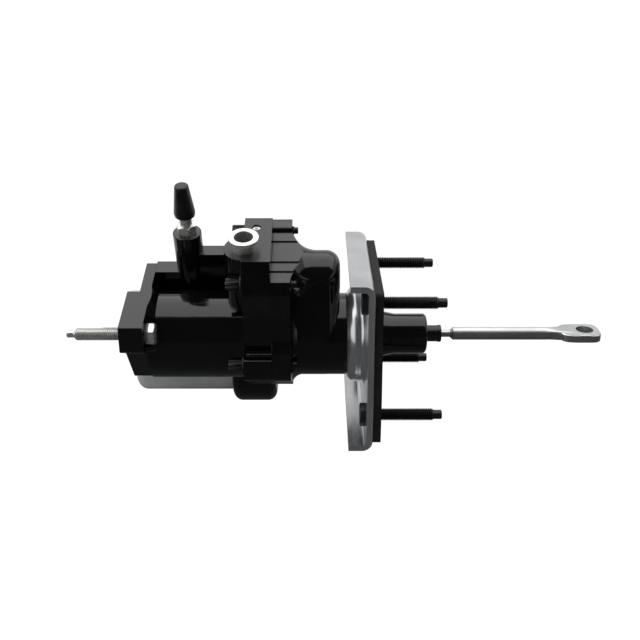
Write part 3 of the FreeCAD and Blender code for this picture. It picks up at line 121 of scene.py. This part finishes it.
# Threads: outer radius, pitch, depth, and the dog point at the tip
STUD_THREAD = {"Radius": 5.0 * MM, "Pitch": 1.5 * MM, "Depth": 0.92 * MM}
STUD_POINT = {"Point Radius": 3.7 * MM, "Point Length": 6.5 * MM}
BOLT_POINT = {"Point Radius": 2.7 * MM, "Point Length": 5.5 * MM}
SCREW_THREAD = {"Radius": 4.0 * MM, "Pitch": 1.25 * MM, "Depth": 0.77 * MM}
SCREW_POINT = {"Point Radius": 2.8 * MM, "Point Length": 3.0 * MM}
SCREW_THREAD_L = 8 * MM
THREAD_LAP = 0.05 * MM
TIP_CHAMFER = 0.5 * MM

# The thread's mesh, and the shares of its pitch that are flat at the crest and at the root
STEPS_ROUND = 40
STEPS_PER_PITCH = 8
CLOSING_ROWS = 2
CREST_FLAT = 0.14
ROOT_FLAT = 0.16
THREAD_WELD = 0.002 * MM

# Skins of the castings, in millimetres; circles are y, z and radius
SKIN_STEPS = 128
BARREL_SPAN = (-182.6, -106.4)
BARREL_SKIN_R = 36.1
BARREL_IN_R = 29.0
FLANK_START_X = -70.0
FLANK_END_X = -31.5
FLANK_ROUND = 11.0
FLANK_STEPS = 8
FLANK_WALL = 2.0
FLANK_CIRCLES = [(0.0, 49.0, 22.2), (0.0, 0.0, 33.7)]

# The pedal rod's flat end, in millimetres. PADDLE_SQUARE is how square its outline is, where 2 is
# an ellipse
PADDLE_X = 171.2
PADDLE_REAR = 12.1
PADDLE_FRONT = 21.0
PADDLE_HALF = 12.1
PADDLE_SQUARE = 4.0
PADDLE_T = 6.9
PADDLE_EDGE = 0.8
PADDLE_HOLE_R = 7.0
PADDLE_STEPS = 128

# The bleeder's head, in millimetres. Its axis lies at X, and at H across the ports' lean. Each
# layer has a height along that lean, a half width, and whether it is a hexagon
HEAD_X = -153.6
HEAD_H = 38.0
HEAD_SIDES = 6
HEAD_TURN = math.radians(12)
HEAD_LAYERS = [
    (75.2, 7.0, True),
    (82.3, 7.0, True),
    (82.9, 6.8, False),
    (82.9, 5.2, False),
    (90.7, 5.2, False),
]


def linear(hex_colour):
    """An sRGB hex colour as linear RGBA."""
    channels = [int(hex_colour[i : i + 2], 16) / 255 for i in (1, 3, 5)]
    decoded = [c / 12.92 if c <= 0.04045 else ((c + 0.055) / 1.055) ** 2.4 for c in channels]
    return (*decoded, 1.0)


def add(tree, kind, inputs=None, out=0, **settings):
    """Adds one node with its settings, values and links, and gives back one of its outputs."""
    made = tree.nodes.new(kind)
    for name, value in settings.items():
        setattr(made, name, value)
    for name, value in (inputs or {}).items():
        socket = made.inputs[name]
        if isinstance(value, bpy.types.NodeSocket):
            tree.links.new(value, socket)
        else:
            socket.default_value = value
    return made.outputs[out] if made.outputs else made


def new_material(name, **fixed):
    """A material's tree, its shader with values that hold all over, and its object coordinates."""
    material = bpy.data.materials.new(name)
    material.use_nodes = True
    tree = material.node_tree
    tree.nodes.clear()
    shader = add(tree, "ShaderNodeBsdfPrincipled").node
    for socket, value in fixed.items():
        shader.inputs[socket.replace("_", " ")].default_value = value
    add(tree, "ShaderNodeOutputMaterial", {"Surface": shader.outputs["BSDF"]})
    place = add(tree, "ShaderNodeTexCoord", out="Object")
    return material, tree, shader, place


def feed(tree, shader, **sockets):
    """Links outputs to the shader's sockets, whose names have an underscore for each space."""
    for name, value in sockets.items():
        tree.links.new(value, shader.inputs[name.replace("_", " ")])


def mottle(tree, place, grain, span=(0, 1), detail=3.0, stretch=None):
    """A value that wanders over a span in blobs about grain metres wide, or in streaks or rings
    where it is given a stretch."""
    if stretch is not None:
        place = add(tree, "ShaderNodeMapping", {"Vector": place, "Scale": stretch})
    blobs = {"Vector": place, "Scale": BLOBS_TO_GRAIN / grain, "Detail": detail}
    noise = add(tree, "ShaderNodeTexNoise", blobs)
    low, high = NOISE_BAND
    reach = {"Value": noise, "From Min": low, "From Max": high, "To Min": span[0], "To Max": span[1]}
    return add(tree, "ShaderNodeMapRange", reach)


def coat(tree, shader, tint, colours, grain, gloss=None, depth=None):
    """A finish from two patterns. The tint runs between two colours, and the grain between two
    values of roughness, where gloss gives them, and raises bumps of about depth metres."""
    first, second = (linear(colour) for colour in colours)
    colour = add(tree, "ShaderNodeMix", {0: tint, 6: first, 7: second}, out=2, data_type="RGBA")
    feed(tree, shader, Base_Color=colour)
    if gloss is not None:
        reach = {"Value": grain, "To Min": gloss[0], "To Max": gloss[1]}
        feed(tree, shader, Roughness=add(tree, "ShaderNodeMapRange", reach))
    if depth is not None:
        bumps = {"Height": grain, "Distance": depth, "Strength": 1.0}
        feed(tree, shader, Normal=add(tree, "ShaderNodeBump", bumps))


def gloss_black_enamel():
    """Stove enamel on a grey iron casting: near black and mirror-like on the cast skin, where broad
    lamps show as sharp bands. It is duller on the milled faces that look up, which are painted a
    lighter charcoal as a painted highlight of the overhead lamp."""
    material, tree, shader, place = new_material("gloss_black_enamel_on_cast_iron", IOR=1.5)
    lean = Vector((0.0, -math.sin(PORT_LEAN), math.cos(PORT_LEAN)))
    normal = add(tree, "ShaderNodeNewGeometry", out="Normal")
    facing, height = (
        add(tree, "ShaderNodeVectorMath", {0: value, 1: lean}, out="Value", operation="DOT_PRODUCT")
        for value in (normal, place)
    )
    # Mask of the faces that look up: milled, and painted lighter there as the overhead lamp's highlight
    shares = []
    for value, (low, high) in ((facing, MILLED_LIT_FACING), (height, MILLED_LIT_LOW), (height, MILLED_LIT_HIGH)):
        reach = {"Value": value, "From Min": low, "From Max": high}
        shares.append(add(tree, "ShaderNodeMapRange", reach))
    both = add(tree, "ShaderNodeMath", {0: shares[1], 1: shares[2]}, operation="ADD")
    half = add(tree, "ShaderNodeMath", {0: both, 1: 0.5}, operation="MULTIPLY")
    milled_and_lit = add(tree, "ShaderNodeMath", {0: shares[0], 1: half}, operation="MULTIPLY")
    blacks = []
    for look in (CAST_BLACK, MILLED_LIT_BLACK):
        tint = mottle(tree, place, look["tint"])
        first, second = (linear(colour) for colour in look["colours"])
        black = add(tree, "ShaderNodeMix", {0: tint, 6: first, 7: second}, out=2, data_type="RGBA")
        blacks.append((black, mottle(tree, place, look["grain"], span=look["gloss"])))
    (black, gloss), (milled_lit_black, milled_gloss) = blacks
    # Up-facing faces take the lighter charcoal: a painted highlight of the overhead lamp
    colour = add(tree, "ShaderNodeMix", {0: milled_and_lit, 6: black, 7: milled_lit_black}, out=2, data_type="RGBA")
    feed(tree, shader, Base_Color=colour)
    feed(tree, shader, Roughness=add(tree, "ShaderNodeMix", {0: milled_and_lit, 2: gloss, 3: milled_gloss}))
    edges = add(tree, "ShaderNodeBevel", {"Radius": ENAMEL_EDGE_R}, samples=ENAMEL_EDGE_SAMPLES)
    orange_peel = mottle(tree, place, grain=3.5 * MM, detail=1.0)
    bumps = {"Height": orange_peel, "Distance": 0.012 * MM, "Strength": 1.0, "Normal": edges}
    feed(tree, shader, Normal=add(tree, "ShaderNodeBump", bumps))
    return material


def bright_zinc():
    """Clear-passivated zinc on pressed sheet steel: bluish silver with a soft rolled grain, drawn
    about 1 mm wide to show."""
    material, tree, shader, place = new_material("bright_zinc_on_pressed_steel", Metallic=0.9)
    cloud = mottle(tree, place, grain=16 * MM)
    streak = mottle(tree, place, grain=1.2 * MM, detail=2.0, stretch=ROLLED_ALONG_Y)
    coat(tree, shader, cloud, ("#bcbec1", "#cfd0d2"), streak, gloss=(0.2, 0.27), depth=0.003 * MM)
    return material


def foam_gasket():
    """Closed-cell rubber foam: matt black with fine open pores, drawn about 0.7 mm wide to show."""
    material, tree, shader, place = new_material("closed_cell_rubber_foam", Roughness=0.85)
    cloud = mottle(tree, place, grain=9 * MM)
    pores = mottle(tree, place, grain=0.7 * MM, detail=4.0)
    coat(tree, shader, cloud, ("#080808", "#101010"), pores, depth=0.2 * MM)
    return material


def black_phosphate():
    """Oiled black phosphate on forged steel: charcoal and half dull, with its crystals drawn about
    0.5 mm wide to show."""
    material, tree, shader, place = new_material("oiled_black_phosphate_on_steel")
    cloud = mottle(tree, place, grain=6 * MM)
    crystal = mottle(tree, place, grain=0.5 * MM, detail=4.0)
    coat(tree, shader, cloud, ("#090909", "#141415"), crystal, gloss=(0.3, 0.46), depth=0.01 * MM)
    return material


def bright_steel():
    """Turned steel under bright nickel: silver with faint tool marks round the axis, drawn about
    0.4 mm apart to show."""
    material, tree, shader, place = new_material("bright_plated_turned_steel", Metallic=0.85)
    cloud = mottle(tree, place, grain=5 * MM)
    marks = mottle(tree, place, grain=0.4 * MM, detail=2.0, stretch=TURNED_ROUND_X)
    coat(tree, shader, cloud, ("#cfcfcc", "#e2e1de"), marks, gloss=(0.22, 0.28), depth=0.0006 * MM)
    return material


def drawn_rod_steel():
    """Zinc-plated drawn bar with a forged eye: satin silver with a grain along the bar, drawn about
    0.6 mm wide to show."""
    material, tree, shader, place = new_material("zinc_plated_drawn_bar", Metallic=1.0)
    cloud = mottle(tree, place, grain=12 * MM)
    streak = mottle(tree, place, grain=0.6 * MM, detail=2.0, stretch=DRAWN_ALONG_X)
    coat(tree, shader, cloud, ("#babcbd", "#d3d4d4"), streak, gloss=(0.34, 0.44), depth=0.005 * MM)
    return material


def black_rubber():
    """Moulded nitrile rubber: deep black with a low sheen and a faint mould bloom."""
    material, tree, shader, place = new_material("moulded_nitrile_rubber")
    bloom = mottle(tree, place, grain=3 * MM)
    coat(tree, shader, bloom, ("#060606", "#0d0d0d"), bloom, gloss=(0.34, 0.46))
    mould = mottle(tree, place, grain=0.6 * MM, detail=2.0)
    bumps = {"Height": mould, "Distance": 0.008 * MM, "Strength": 1.0}
    feed(tree, shader, Normal=add(tree, "ShaderNodeBump", bumps))
    return material


def black_plunger():
    """Hard black anodise on a turned plunger: smooth charcoal with rings from the tool, drawn about
    0.5 mm apart to show."""
    material, tree, shader, place = new_material("hard_black_anodised_plunger")
    marks = mottle(tree, place, grain=0.5 * MM, detail=2.0, stretch=TURNED_ROUND_X)
    coat(tree, shader, marks, ("#0c0c0d", "#151516"), marks, gloss=(0.2, 0.32), depth=0.004 * MM)
    return material


def satin_can_paint():
    """Silver-grey aluminium paint on a drawn steel can: satin, more paint than metal to the eye,
    with faint rings from the drawing die, about 0.8 mm apart."""
    material, tree, shader, place = new_material("aluminium_paint_on_drawn_steel", Metallic=0.3)
    cloud = mottle(tree, place, grain=10 * MM)
    rings = mottle(tree, place, grain=0.8 * MM, detail=2.0, stretch=PRESSED_ROUND_X)
    coat(tree, shader, cloud, ("#aeb2b3", "#bcc0c0"), rings, gloss=(0.36, 0.46), depth=0.005 * MM)
    return material


def ground_steel():
    """Ground and oiled steel of the inner parts: grey with rings from the wheel, drawn about 0.4 mm
    apart to show."""
    material, tree, shader, place = new_material("ground_bare_steel", Metallic=1.0)
    marks = mottle(tree, place, grain=0.4 * MM, detail=2.0, stretch=TURNED_ROUND_X)
    coat(tree, shader, marks, ("#9a9b9c", "#b9babb"), marks, gloss=(0.18, 0.32))
    return material


def anodised_aluminium():
    """Anodised aluminium of the accumulator's piston: pale and satin."""
    material, tree, shader, place = new_material("satin_anodised_aluminium", Metallic=1.0)
    cloud = mottle(tree, place, grain=4 * MM)
    coat(tree, shader, cloud, ("#b7b9ba", "#cdcecf"), cloud, gloss=(0.3, 0.42))
    return material


def spring_wire():
    """Drawn spring wire: dark blue-grey steel with a drawn sheen."""
    material, tree, shader, place = new_material("drawn_spring_wire", Metallic=1.0)
    cloud = mottle(tree, place, grain=2 * MM)
    coat(tree, shader, cloud, ("#6a6d70", "#85888a"), cloud, gloss=(0.22, 0.36))
    return material


# One finish for each material slot of the record
FINISH = {
    "cast_paint": gloss_black_enamel(),
    "zinc_plate": bright_zinc(),
    "gasket_foam": foam_gasket(),
    "black_phosphate": black_phosphate(),
    "bright_steel": bright_steel(),
    "rod_steel": drawn_rod_steel(),
    "black_rubber": black_rubber(),
    "plunger_black": black_plunger(),
    "can_steel": satin_can_paint(),
    "machined_steel": ground_steel(),
    "piston_aluminium": anodised_aluminium(),
    "spring_steel": spring_wire(),
}
SLOT_OF = {part["node"]: part["material_slot"] for part in frame["record"]["subparts"]}


def dress_nodes():
    """Gives each node of the construction the finish of its slot."""
    for name, node in frame["nodes"].items():
        for slot in node.material_slots:
            slot.material = FINISH[SLOT_OF[name]]


def thread_tree():
    """The tree that cuts a thread with a dog point, one on each point of the mesh it is given.

    Each bar starts at its point and runs along +X. It is a grid whose columns go round the bar and
    whose rows wind along the helix, and the first and last rows shrink to the axis and close it."""
    tree = bpy.data.node_groups.new("threaded_bar", "GeometryNodeTree")
    face = tree.interface
    face.new_socket("Geometry", in_out="INPUT", socket_type="NodeSocketGeometry")
    for name in ("Length", "Radius", "Pitch", "Depth", "Point Radius", "Point Length", "Turned"):
        face.new_socket(name, in_out="INPUT", socket_type="NodeSocketFloat")
    for name in ("Columns", "Rows"):
        face.new_socket(name, in_out="INPUT", socket_type="NodeSocketInt")
    face.new_socket("Finish", in_out="INPUT", socket_type="NodeSocketMaterial")
    face.new_socket("Geometry", in_out="OUTPUT", socket_type="NodeSocketGeometry")
    size = tree.nodes.new("NodeGroupInput").outputs

    sheet = {"Size X": 1.0, "Size Y": 1.0, "Vertices X": size["Columns"], "Vertices Y": size["Rows"]}
    grid = add(tree, "GeometryNodeMeshGrid", sheet)
    spot = add(tree, "GeometryNodeInputPosition")
    spot = add(tree, "ShaderNodeSeparateXYZ", {0: spot}).node.outputs
    # The grid lies from -0.5 to 0.5 across and up. Each line below makes one value: its name, how
    # it is worked out, and from what.
    form = [
        ("turn", "ADD", "across", 0.5),
        ("angle", "MULTIPLY", "turn", 2 * math.pi),
        ("last step", "SUBTRACT", "Rows", 1 + CLOSING_ROWS),
        ("last row", "ADD", "last step", CLOSING_ROWS),
        ("share", "ADD", "up", 0.5),
        ("row", "MULTIPLY", "share", "last row"),
        ("step", "SUBTRACT", "row", 1.0),
        ("step", "MAXIMUM", "step", 0.0),
        ("step", "MINIMUM", "step", "last step"),
        ("pitches", "DIVIDE", "step", STEPS_PER_PITCH),
        ("lead", "SUBTRACT", "turn", 1.0),
        ("pitches", "ADD", "pitches", "lead"),
        ("x", "MULTIPLY", "pitches", "Pitch"),
        ("x", "MAXIMUM", "x", 0.0),
        ("x", "MINIMUM", "x", "Length"),
        ("phase", "DIVIDE", "x", "Pitch"),
        ("phase", "SUBTRACT", "phase", "turn"),
        ("phase", "FRACT", "phase"),
        ("flank", "MULTIPLY", "phase", 2.0),
        ("flank", "SUBTRACT", "flank", 1.0),
        ("flank", "ABSOLUTE", "flank"),
        ("flank", "SUBTRACT", "flank", ROOT_FLAT),
        ("flank", "DIVIDE", "flank", 1.0 - CREST_FLAT - ROOT_FLAT),
        ("flank", "MAXIMUM", "flank", 0.0),
        ("flank", "MINIMUM", "flank", 1.0),
        ("cut", "SUBTRACT", 1.0, "flank"),
        ("cut", "MULTIPLY", "cut", "Depth"),
        ("thread", "SUBTRACT", "Radius", "cut"),
        ("left", "SUBTRACT", "Length", "x"),
        ("run-out", "SUBTRACT", "left", "Point Length"),
        ("run-out", "MAXIMUM", "run-out", 0.0),
        ("point", "ADD", "Point Radius", "run-out"),
        ("tip", "SUBTRACT", "Point Radius", TIP_CHAMFER),
        ("tip", "ADD", "tip", "left"),
        ("radius", "MINIMUM", "thread", "point"),
        ("radius", "MINIMUM", "radius", "tip"),
        ("begun", "GREATER_THAN", "row", 0.5),
        ("end", "SUBTRACT", "last row", 0.5),
        ("unfinished", "LESS_THAN", "row", "end"),
        ("radius", "MULTIPLY", "radius", "begun"),
        ("radius", "MULTIPLY", "radius", "unfinished"),
        ("y", "COSINE", "angle"),
        ("y", "MULTIPLY", "radius", "y"),
        ("z", "SINE", "angle"),
        ("z", "MULTIPLY", "radius", "z"),
    ]
    value = {"across": spot["X"], "up": spot["Y"], **dict(size.items())}
    for name, operation, *sources in form:
        feeds = {place: value.get(source, source) for place, source in enumerate(sources)}
        value[name] = add(tree, "ShaderNodeMath", feeds, operation=operation)

    place = add(tree, "ShaderNodeCombineXYZ", {"X": value["x"], "Y": value["y"], "Z": value["z"]})
    bar = add(tree, "GeometryNodeSetPosition", {"Geometry": grid, "Position": place})
    bar = add(tree, "GeometryNodeMergeByDistance", {"Geometry": bar, "Distance": THREAD_WELD})
    bar = add(tree, "GeometryNodeSetShadeSmooth", {"Geometry": bar})
    turned = add(tree, "ShaderNodeCombineXYZ", {"Z": size["Turned"]})
    placed = {"Points": size["Geometry"], "Instance": bar, "Rotation": turned}
    spread = add(tree, "GeometryNodeInstanceOnPoints", placed)
    whole = add(tree, "GeometryNodeRealizeInstances", {"Geometry": spread})
    whole = add(tree, "GeometryNodeSetMaterial", {"Geometry": whole, "Material": size["Finish"]})
    tree.links.new(whole, tree.nodes.new("NodeGroupOutput").inputs[0])
    return tree


def grown(name, points, tree, values):
    """What the tree makes on the points, as a mesh."""
    seeds = bpy.data.meshes.new(name + "_points")
    seeds.from_pydata(points, [], [])
    carrier = bpy.data.objects.new(name + "_points", seeds)
    bpy.context.scene.collection.objects.link(carrier)
    modifier = carrier.modifiers.new("grown", "NODES")
    modifier.node_group = tree
    for item in tree.interface.items_tree:
        if item.in_out == "INPUT" and item.name in values:
            modifier[item.identifier] = values[item.name]
    carrier.update_tag()
    shown = carrier.evaluated_get(bpy.context.evaluated_depsgraph_get())
    mesh = bpy.data.meshes.new_from_object(shown)
    bpy.data.objects.remove(carrier)
    return mesh


def solids_of(node):
    """The lowest and highest corner of each separate solid of a node."""
    whole = bmesh.new()
    whole.from_mesh(frame["nodes"][node].data)
    bmesh.ops.remove_doubles(whole, verts=whole.verts, dist=WELD)
    left = set(whole.verts)
    boxes = []
    while left:
        heap = [left.pop()]
        solid = []
        while heap:
            vert = heap.pop()
            solid.append(vert.co.copy())
            for edge in vert.link_edges:
                other = edge.other_vert(vert)
                if other in left:
                    left.remove(other)
                    heap.append(other)
        low = Vector([min(p[i] for p in solid) for i in range(3)])
        high = Vector([max(p[i] for p in solid) for i in range(3)])
        boxes.append((low, high))
    whole.free()
    return boxes


def shorn(node, x, keep_below):
    """A copy of a node's mesh, cut square to X and closed there."""
    whole = bmesh.new()
    whole.from_mesh(frame["nodes"][node].data)
    bmesh.ops.remove_doubles(whole, verts=whole.verts, dist=WELD)
    parts = whole.verts[:] + whole.edges[:] + whole.faces[:]
    cut = bmesh.ops.bisect_plane(
        whole,
        geom=parts,
        plane_co=(x, 0, 0),
        plane_no=(1, 0, 0),
        clear_outer=keep_below,
        clear_inner=not keep_below,
    )
    rim = [part for part in cut["geom_cut"] if isinstance(part, bmesh.types.BMEdge)]
    bmesh.ops.holes_fill(whole, edges=rim, sides=0)
    bmesh.ops.recalc_face_normals(whole, faces=whole.faces)
    for face in whole.faces:
        face.smooth = True
    return whole


def threaded(node, body, start, tip_side, bar_tree, sizes):
    """The node again with real threads from start to its tips, in place of plain cylinders."""
    boxes = solids_of(node)
    points = []
    for low, high in boxes:
        middle = (low + high) / 2
        points.append((start - tip_side * THREAD_LAP, middle.y, middle.z))
    tip = boxes[0][1].x if tip_side > 0 else boxes[0][0].x
    length = abs(tip - start) + THREAD_LAP
    finish = FINISH[SLOT_OF[node]]
    rows = math.ceil((length / sizes["Pitch"] + 1) * STEPS_PER_PITCH) + 1 + CLOSING_ROWS
    values = {"Length": length, "Columns": STEPS_ROUND + 1, "Rows": rows, "Finish": finish}
    values["Turned"] = 0.0 if tip_side > 0 else math.pi
    bars = grown(node, points, bar_tree, values | sizes)
    whole = shorn(node, start, tip_side > 0)
    whole.from_mesh(bars)
    mesh = bpy.data.meshes.new(node + "_threaded")
    whole.to_mesh(mesh)
    whole.free()
    mesh.materials.append(finish)
    for polygon in mesh.polygons:
        polygon.material_index = 0
    mesh.set_sharp_from_angle(angle=SHARP_EDGE)
    piece = bpy.data.objects.new(node + "_threaded", mesh)
    bpy.context.scene.collection.objects.link(piece)
    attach(piece, body)
    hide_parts(node)


def skin(name, stations, body, slot, hollow=False):
    """A closed piece round lines along X. Each station is an x and the circles, each a y, a z and a
    radius, round which the skin is drawn tight there."""
    verts = []
    for x, circles in stations:
        for step in range(SKIN_STEPS):
            angle = 2 * math.pi * step / SKIN_STEPS
            side_y = math.cos(angle)
            side_z = math.sin(angle)
            y, z, r = max(circles, key=lambda c: c[0] * side_y + c[1] * side_z + c[2])
            verts.append((x * MM, (y + r * side_y) * MM, (z + r * side_z) * MM))
    finish_piece(name, verts, wound(len(stations), SKIN_STEPS, hollow), body, slot)


def wound(rings, steps, hollow=False):
    """Faces between rings of corners. The last ring meets the first one if the form is hollow, and
    otherwise the first and the last ring are each closed by a flat end."""
    faces = []
    for row in range(rings if hollow else rings - 1):
        for step in range(steps):
            after = (step + 1) % steps
            low = row * steps
            high = (row + 1) % rings * steps
            faces.append((low + step, low + after, high + after, high + step))
    if not hollow:
        faces.append(tuple(reversed(range(steps))))
        faces.append(tuple(range((rings - 1) * steps, rings * steps)))
    return faces


def finish_piece(name, verts, faces, body, slot):
    """Makes a piece from its corners and faces: turned outwards, and smooth but for sharp edges."""
    whole = bmesh.new()
    corners = [whole.verts.new(v) for v in verts]
    for face in faces:
        whole.faces.new([corners[i] for i in face]).smooth = True
    bmesh.ops.recalc_face_normals(whole, faces=whole.faces)
    mesh = bpy.data.meshes.new(name)
    whole.to_mesh(mesh)
    whole.free()
    mesh.materials.append(FINISH[slot])
    mesh.set_sharp_from_angle(angle=SHARP_EDGE)
    piece = bpy.data.objects.new(name, mesh)
    bpy.context.scene.collection.objects.link(piece)
    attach(piece, body)


def make_barrel():
    """The full round of the power cylinder, a sleeve over the casting's barrel, which has a flat."""
    front, rear = BARREL_SPAN
    corners = [(front, BARREL_IN_R), (rear, BARREL_IN_R), (rear, BARREL_SKIN_R), (front, BARREL_SKIN_R)]
    stations = [(x, [(0, 0, r)]) for x, r in corners]
    skin("barrel_skin", stations, "booster", "cast_paint", hollow=True)


def make_cover_flank():
    """The smooth flank of the rear cover, a shell drawn tight over the spool dome and the neck."""
    shells = []
    for wall in (FLANK_WALL, 0.0):
        shell = []
        for step in range(FLANK_STEPS + 1):
            turn = math.pi / 2 * step / FLANK_STEPS
            x = FLANK_END_X - wall - FLANK_ROUND * (1 - math.sin(turn))
            inset = wall + FLANK_ROUND * (1 - math.cos(turn))
            shell.append((x, [(y, z, r - inset) for y, z, r in FLANK_CIRCLES]))
        shell.insert(0, (FLANK_START_X, shell[0][1]))
        shells.append(shell)
    inner, outer = shells
    skin("cover_flank", inner[::-1] + outer, "booster", "cast_paint")


def make_rod_paddle():
    """The flattened end of the pedal rod: a plate with square shoulders and a round hole."""
    rings = [(-PADDLE_T / 2, PADDLE_EDGE), (-PADDLE_T / 2 + PADDLE_EDGE, 0)]
    rings += [(-z, inset) for z, inset in reversed(rings)]
    verts = []
    for z, inset in rings:
        for step in range(PADDLE_STEPS):
            angle = 2 * math.pi * step / PADDLE_STEPS
            reach = PADDLE_REAR if math.cos(angle) > 0 else PADDLE_FRONT
            share_x = abs(math.cos(angle)) / (reach - inset)
            share_y = abs(math.sin(angle)) / (PADDLE_HALF - inset)
            r = (share_x**PADDLE_SQUARE + share_y**PADDLE_SQUARE) ** (-1 / PADDLE_SQUARE)
            verts.append(((PADDLE_X + r * math.cos(angle)) * MM, r * math.sin(angle) * MM, z * MM))
    for z in (PADDLE_T / 2, -PADDLE_T / 2):
        for step in range(PADDLE_STEPS):
            angle = 2 * math.pi * step / PADDLE_STEPS
            y = PADDLE_HOLE_R * math.sin(angle)
            verts.append(((PADDLE_X + PADDLE_HOLE_R * math.cos(angle)) * MM, y * MM, z * MM))
    faces = wound(len(rings) + 2, PADDLE_STEPS, hollow=True)
    finish_piece("rod_paddle", verts, faces, "rod", "rod_steel")


def make_bleeder_head():
    """The bleeder screw's hexagon and shank between the boss and the rubber cap."""
    sharp = math.pi / HEAD_SIDES
    verts = []
    for v, half, is_hexagon in HEAD_LAYERS:
        for step in range(SKIN_STEPS):
            angle = 2 * math.pi * step / SKIN_STEPS
            within = (angle + HEAD_TURN) % (2 * sharp) - sharp
            r = half / math.cos(within) if is_hexagon else half
            h = HEAD_H + r * math.sin(angle)
            x = HEAD_X + r * math.cos(angle)
            y = h * math.cos(PORT_LEAN) - v * math.sin(PORT_LEAN)
            z = h * math.sin(PORT_LEAN) + v * math.cos(PORT_LEAN)
            verts.append((x * MM, y * MM, z * MM))
    faces = wound(len(HEAD_LAYERS), SKIN_STEPS)
    finish_piece("bleeder_head", verts, faces, "bleeder", "bright_steel")


def make_threads():
    """Real threads on the firewall studs, the master cylinder bolts and the cover's screws."""
    bar_tree = thread_tree()
    gasket_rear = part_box("firewall_gasket")[1].x
    threaded("firewall_studs", "booster", gasket_rear, 1, bar_tree, STUD_THREAD | STUD_POINT)
    ear_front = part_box("housing")[0].x
    threaded("master_cylinder_bolts", "booster", ear_front, -1, bar_tree, STUD_THREAD | BOLT_POINT)
    screw_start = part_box("cover_screws")[1].x - SCREW_THREAD_L
    threaded("cover_screws", "booster", screw_start, 1, bar_tree, SCREW_THREAD | SCREW_POINT)


def make_floor():
    """A pale floor below the part. It is plain white to the camera and shows no shadow, as in the
    photograph. In the gloss of paint and metal it is dim near the part and bright behind it."""
    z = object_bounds()[0].z - FLOOR_DROP
    corners = [(-FLOOR_HALF, -FLOOR_HALF, z), (FLOOR_HALF, -FLOOR_HALF, z)]
    corners += [(FLOOR_HALF, FLOOR_HALF, z), (-FLOOR_HALF, FLOOR_HALF, z)]
    mesh = bpy.data.meshes.new("floor")
    mesh.from_pydata(corners, [], [(0, 1, 2, 3)])
    floor = bpy.data.objects.new("floor", mesh)
    bpy.context.scene.collection.objects.link(floor)
    material = bpy.data.materials.new("pale_studio_floor")
    material.use_nodes = True
    tree = material.node_tree
    tree.nodes.clear()
    paper = add(tree, "ShaderNodeBsdfDiffuse", {"Color": linear(FLOOR_COLOUR)})
    rays = add(tree, "ShaderNodeLightPath").node.outputs
    glow = add(tree, "ShaderNodeEmission", {"Strength": BACKGROUND_GLOW})
    seen = add(tree, "ShaderNodeMixShader", {0: rays["Is Camera Ray"], 1: paper, 2: glow})
    spot = add(tree, "ShaderNodeTexCoord", out="Object")
    behind = add(tree, "ShaderNodeSeparateXYZ", {0: spot}, out="Y")
    near, far = FLOOR_GLOSS_EDGE
    reach = {"Value": behind, "From Min": near, "From Max": far}
    reach |= {"To Min": FLOOR_GLOSS_NEAR, "To Max": FLOOR_GLOSS_BEHIND}
    dimness = add(tree, "ShaderNodeMapRange", reach)
    dim = add(tree, "ShaderNodeEmission", {"Strength": dimness})
    whole = add(tree, "ShaderNodeMixShader", {0: rays["Is Glossy Ray"], 1: seen, 2: dim})
    add(tree, "ShaderNodeOutputMaterial", {"Surface": whole})
    mesh.materials.append(material)


def make_world():
    """White to the camera. The part sees a pale wall behind it and on its left, and a dim room."""
    world = bpy.data.worlds.new("studio_room")
    bpy.context.scene.world = world
    world.use_nodes = True
    tree = world.node_tree
    tree.nodes.clear()
    direction = add(tree, "ShaderNodeTexCoord", out="Generated")
    backwards, leftwards = (
        add(tree, "ShaderNodeVectorMath", {0: direction, 1: side}, out="Value", operation="DOT_PRODUCT")
        for side in (WALL_SIDE, LEFT_SIDE)
    )
    reach = {"Value": backwards, "From Min": -WALL_EDGE, "From Max": WALL_EDGE}
    reach |= {"To Min": ROOM_DARK, "To Max": WALL_BRIGHT}
    room = add(tree, "ShaderNodeMapRange", reach)
    start, full = LEFT_EDGE
    reach = {"Value": leftwards, "From Min": start, "From Max": full, "To Max": LEFT_BRIGHT}
    left = add(tree, "ShaderNodeMapRange", reach)
    room = add(tree, "ShaderNodeMath", {0: room, 1: left}, operation="MAXIMUM")
    camera_ray = add(tree, "ShaderNodeLightPath", out="Is Camera Ray")
    felt = add(tree, "ShaderNodeBackground", {"Strength": room, "Color": linear(WHITE)})
    seen = add(tree, "ShaderNodeBackground", {"Strength": BACKGROUND_GLOW, "Color": linear(WHITE)})
    mixed = add(tree, "ShaderNodeMixShader", {0: camera_ray, 1: felt, 2: seen})
    add(tree, "ShaderNodeOutputWorld", {"Surface": mixed})


def make_softbox():
    """One wide soft lamp overhead, the bright band in the paint."""
    lamp = bpy.data.lights.new("overhead_softbox", "AREA")
    lamp.shape = "RECTANGLE"
    lamp.size, lamp.size_y = SOFTBOX_SIZE
    lamp.energy = SOFTBOX_POWER
    softbox = bpy.data.objects.new("overhead_softbox", lamp)
    bpy.context.scene.collection.objects.link(softbox)
    softbox.location = (CAMERA_AT[0], SOFTBOX_Y, SOFTBOX_HEIGHT)


def make_camera():
    """The photograph's own view."""
    data = bpy.data.cameras.new("camera")
    data.lens = CAMERA_LENS
    data.sensor_width = CAMERA_SENSOR
    camera = bpy.data.objects.new("camera", data)
    bpy.context.scene.collection.objects.link(camera)
    camera.location = CAMERA_AT
    camera.rotation_euler = (CAMERA_PITCH, 0.0, 0.0)
    bpy.context.scene.camera = camera


dress_nodes()
make_threads()
make_barrel()
make_cover_flank()
make_rod_paddle()
make_bleeder_head()
make_floor()
make_world()
make_softbox()
make_camera()
bpy.context.scene.view_settings.view_transform = "Standard"
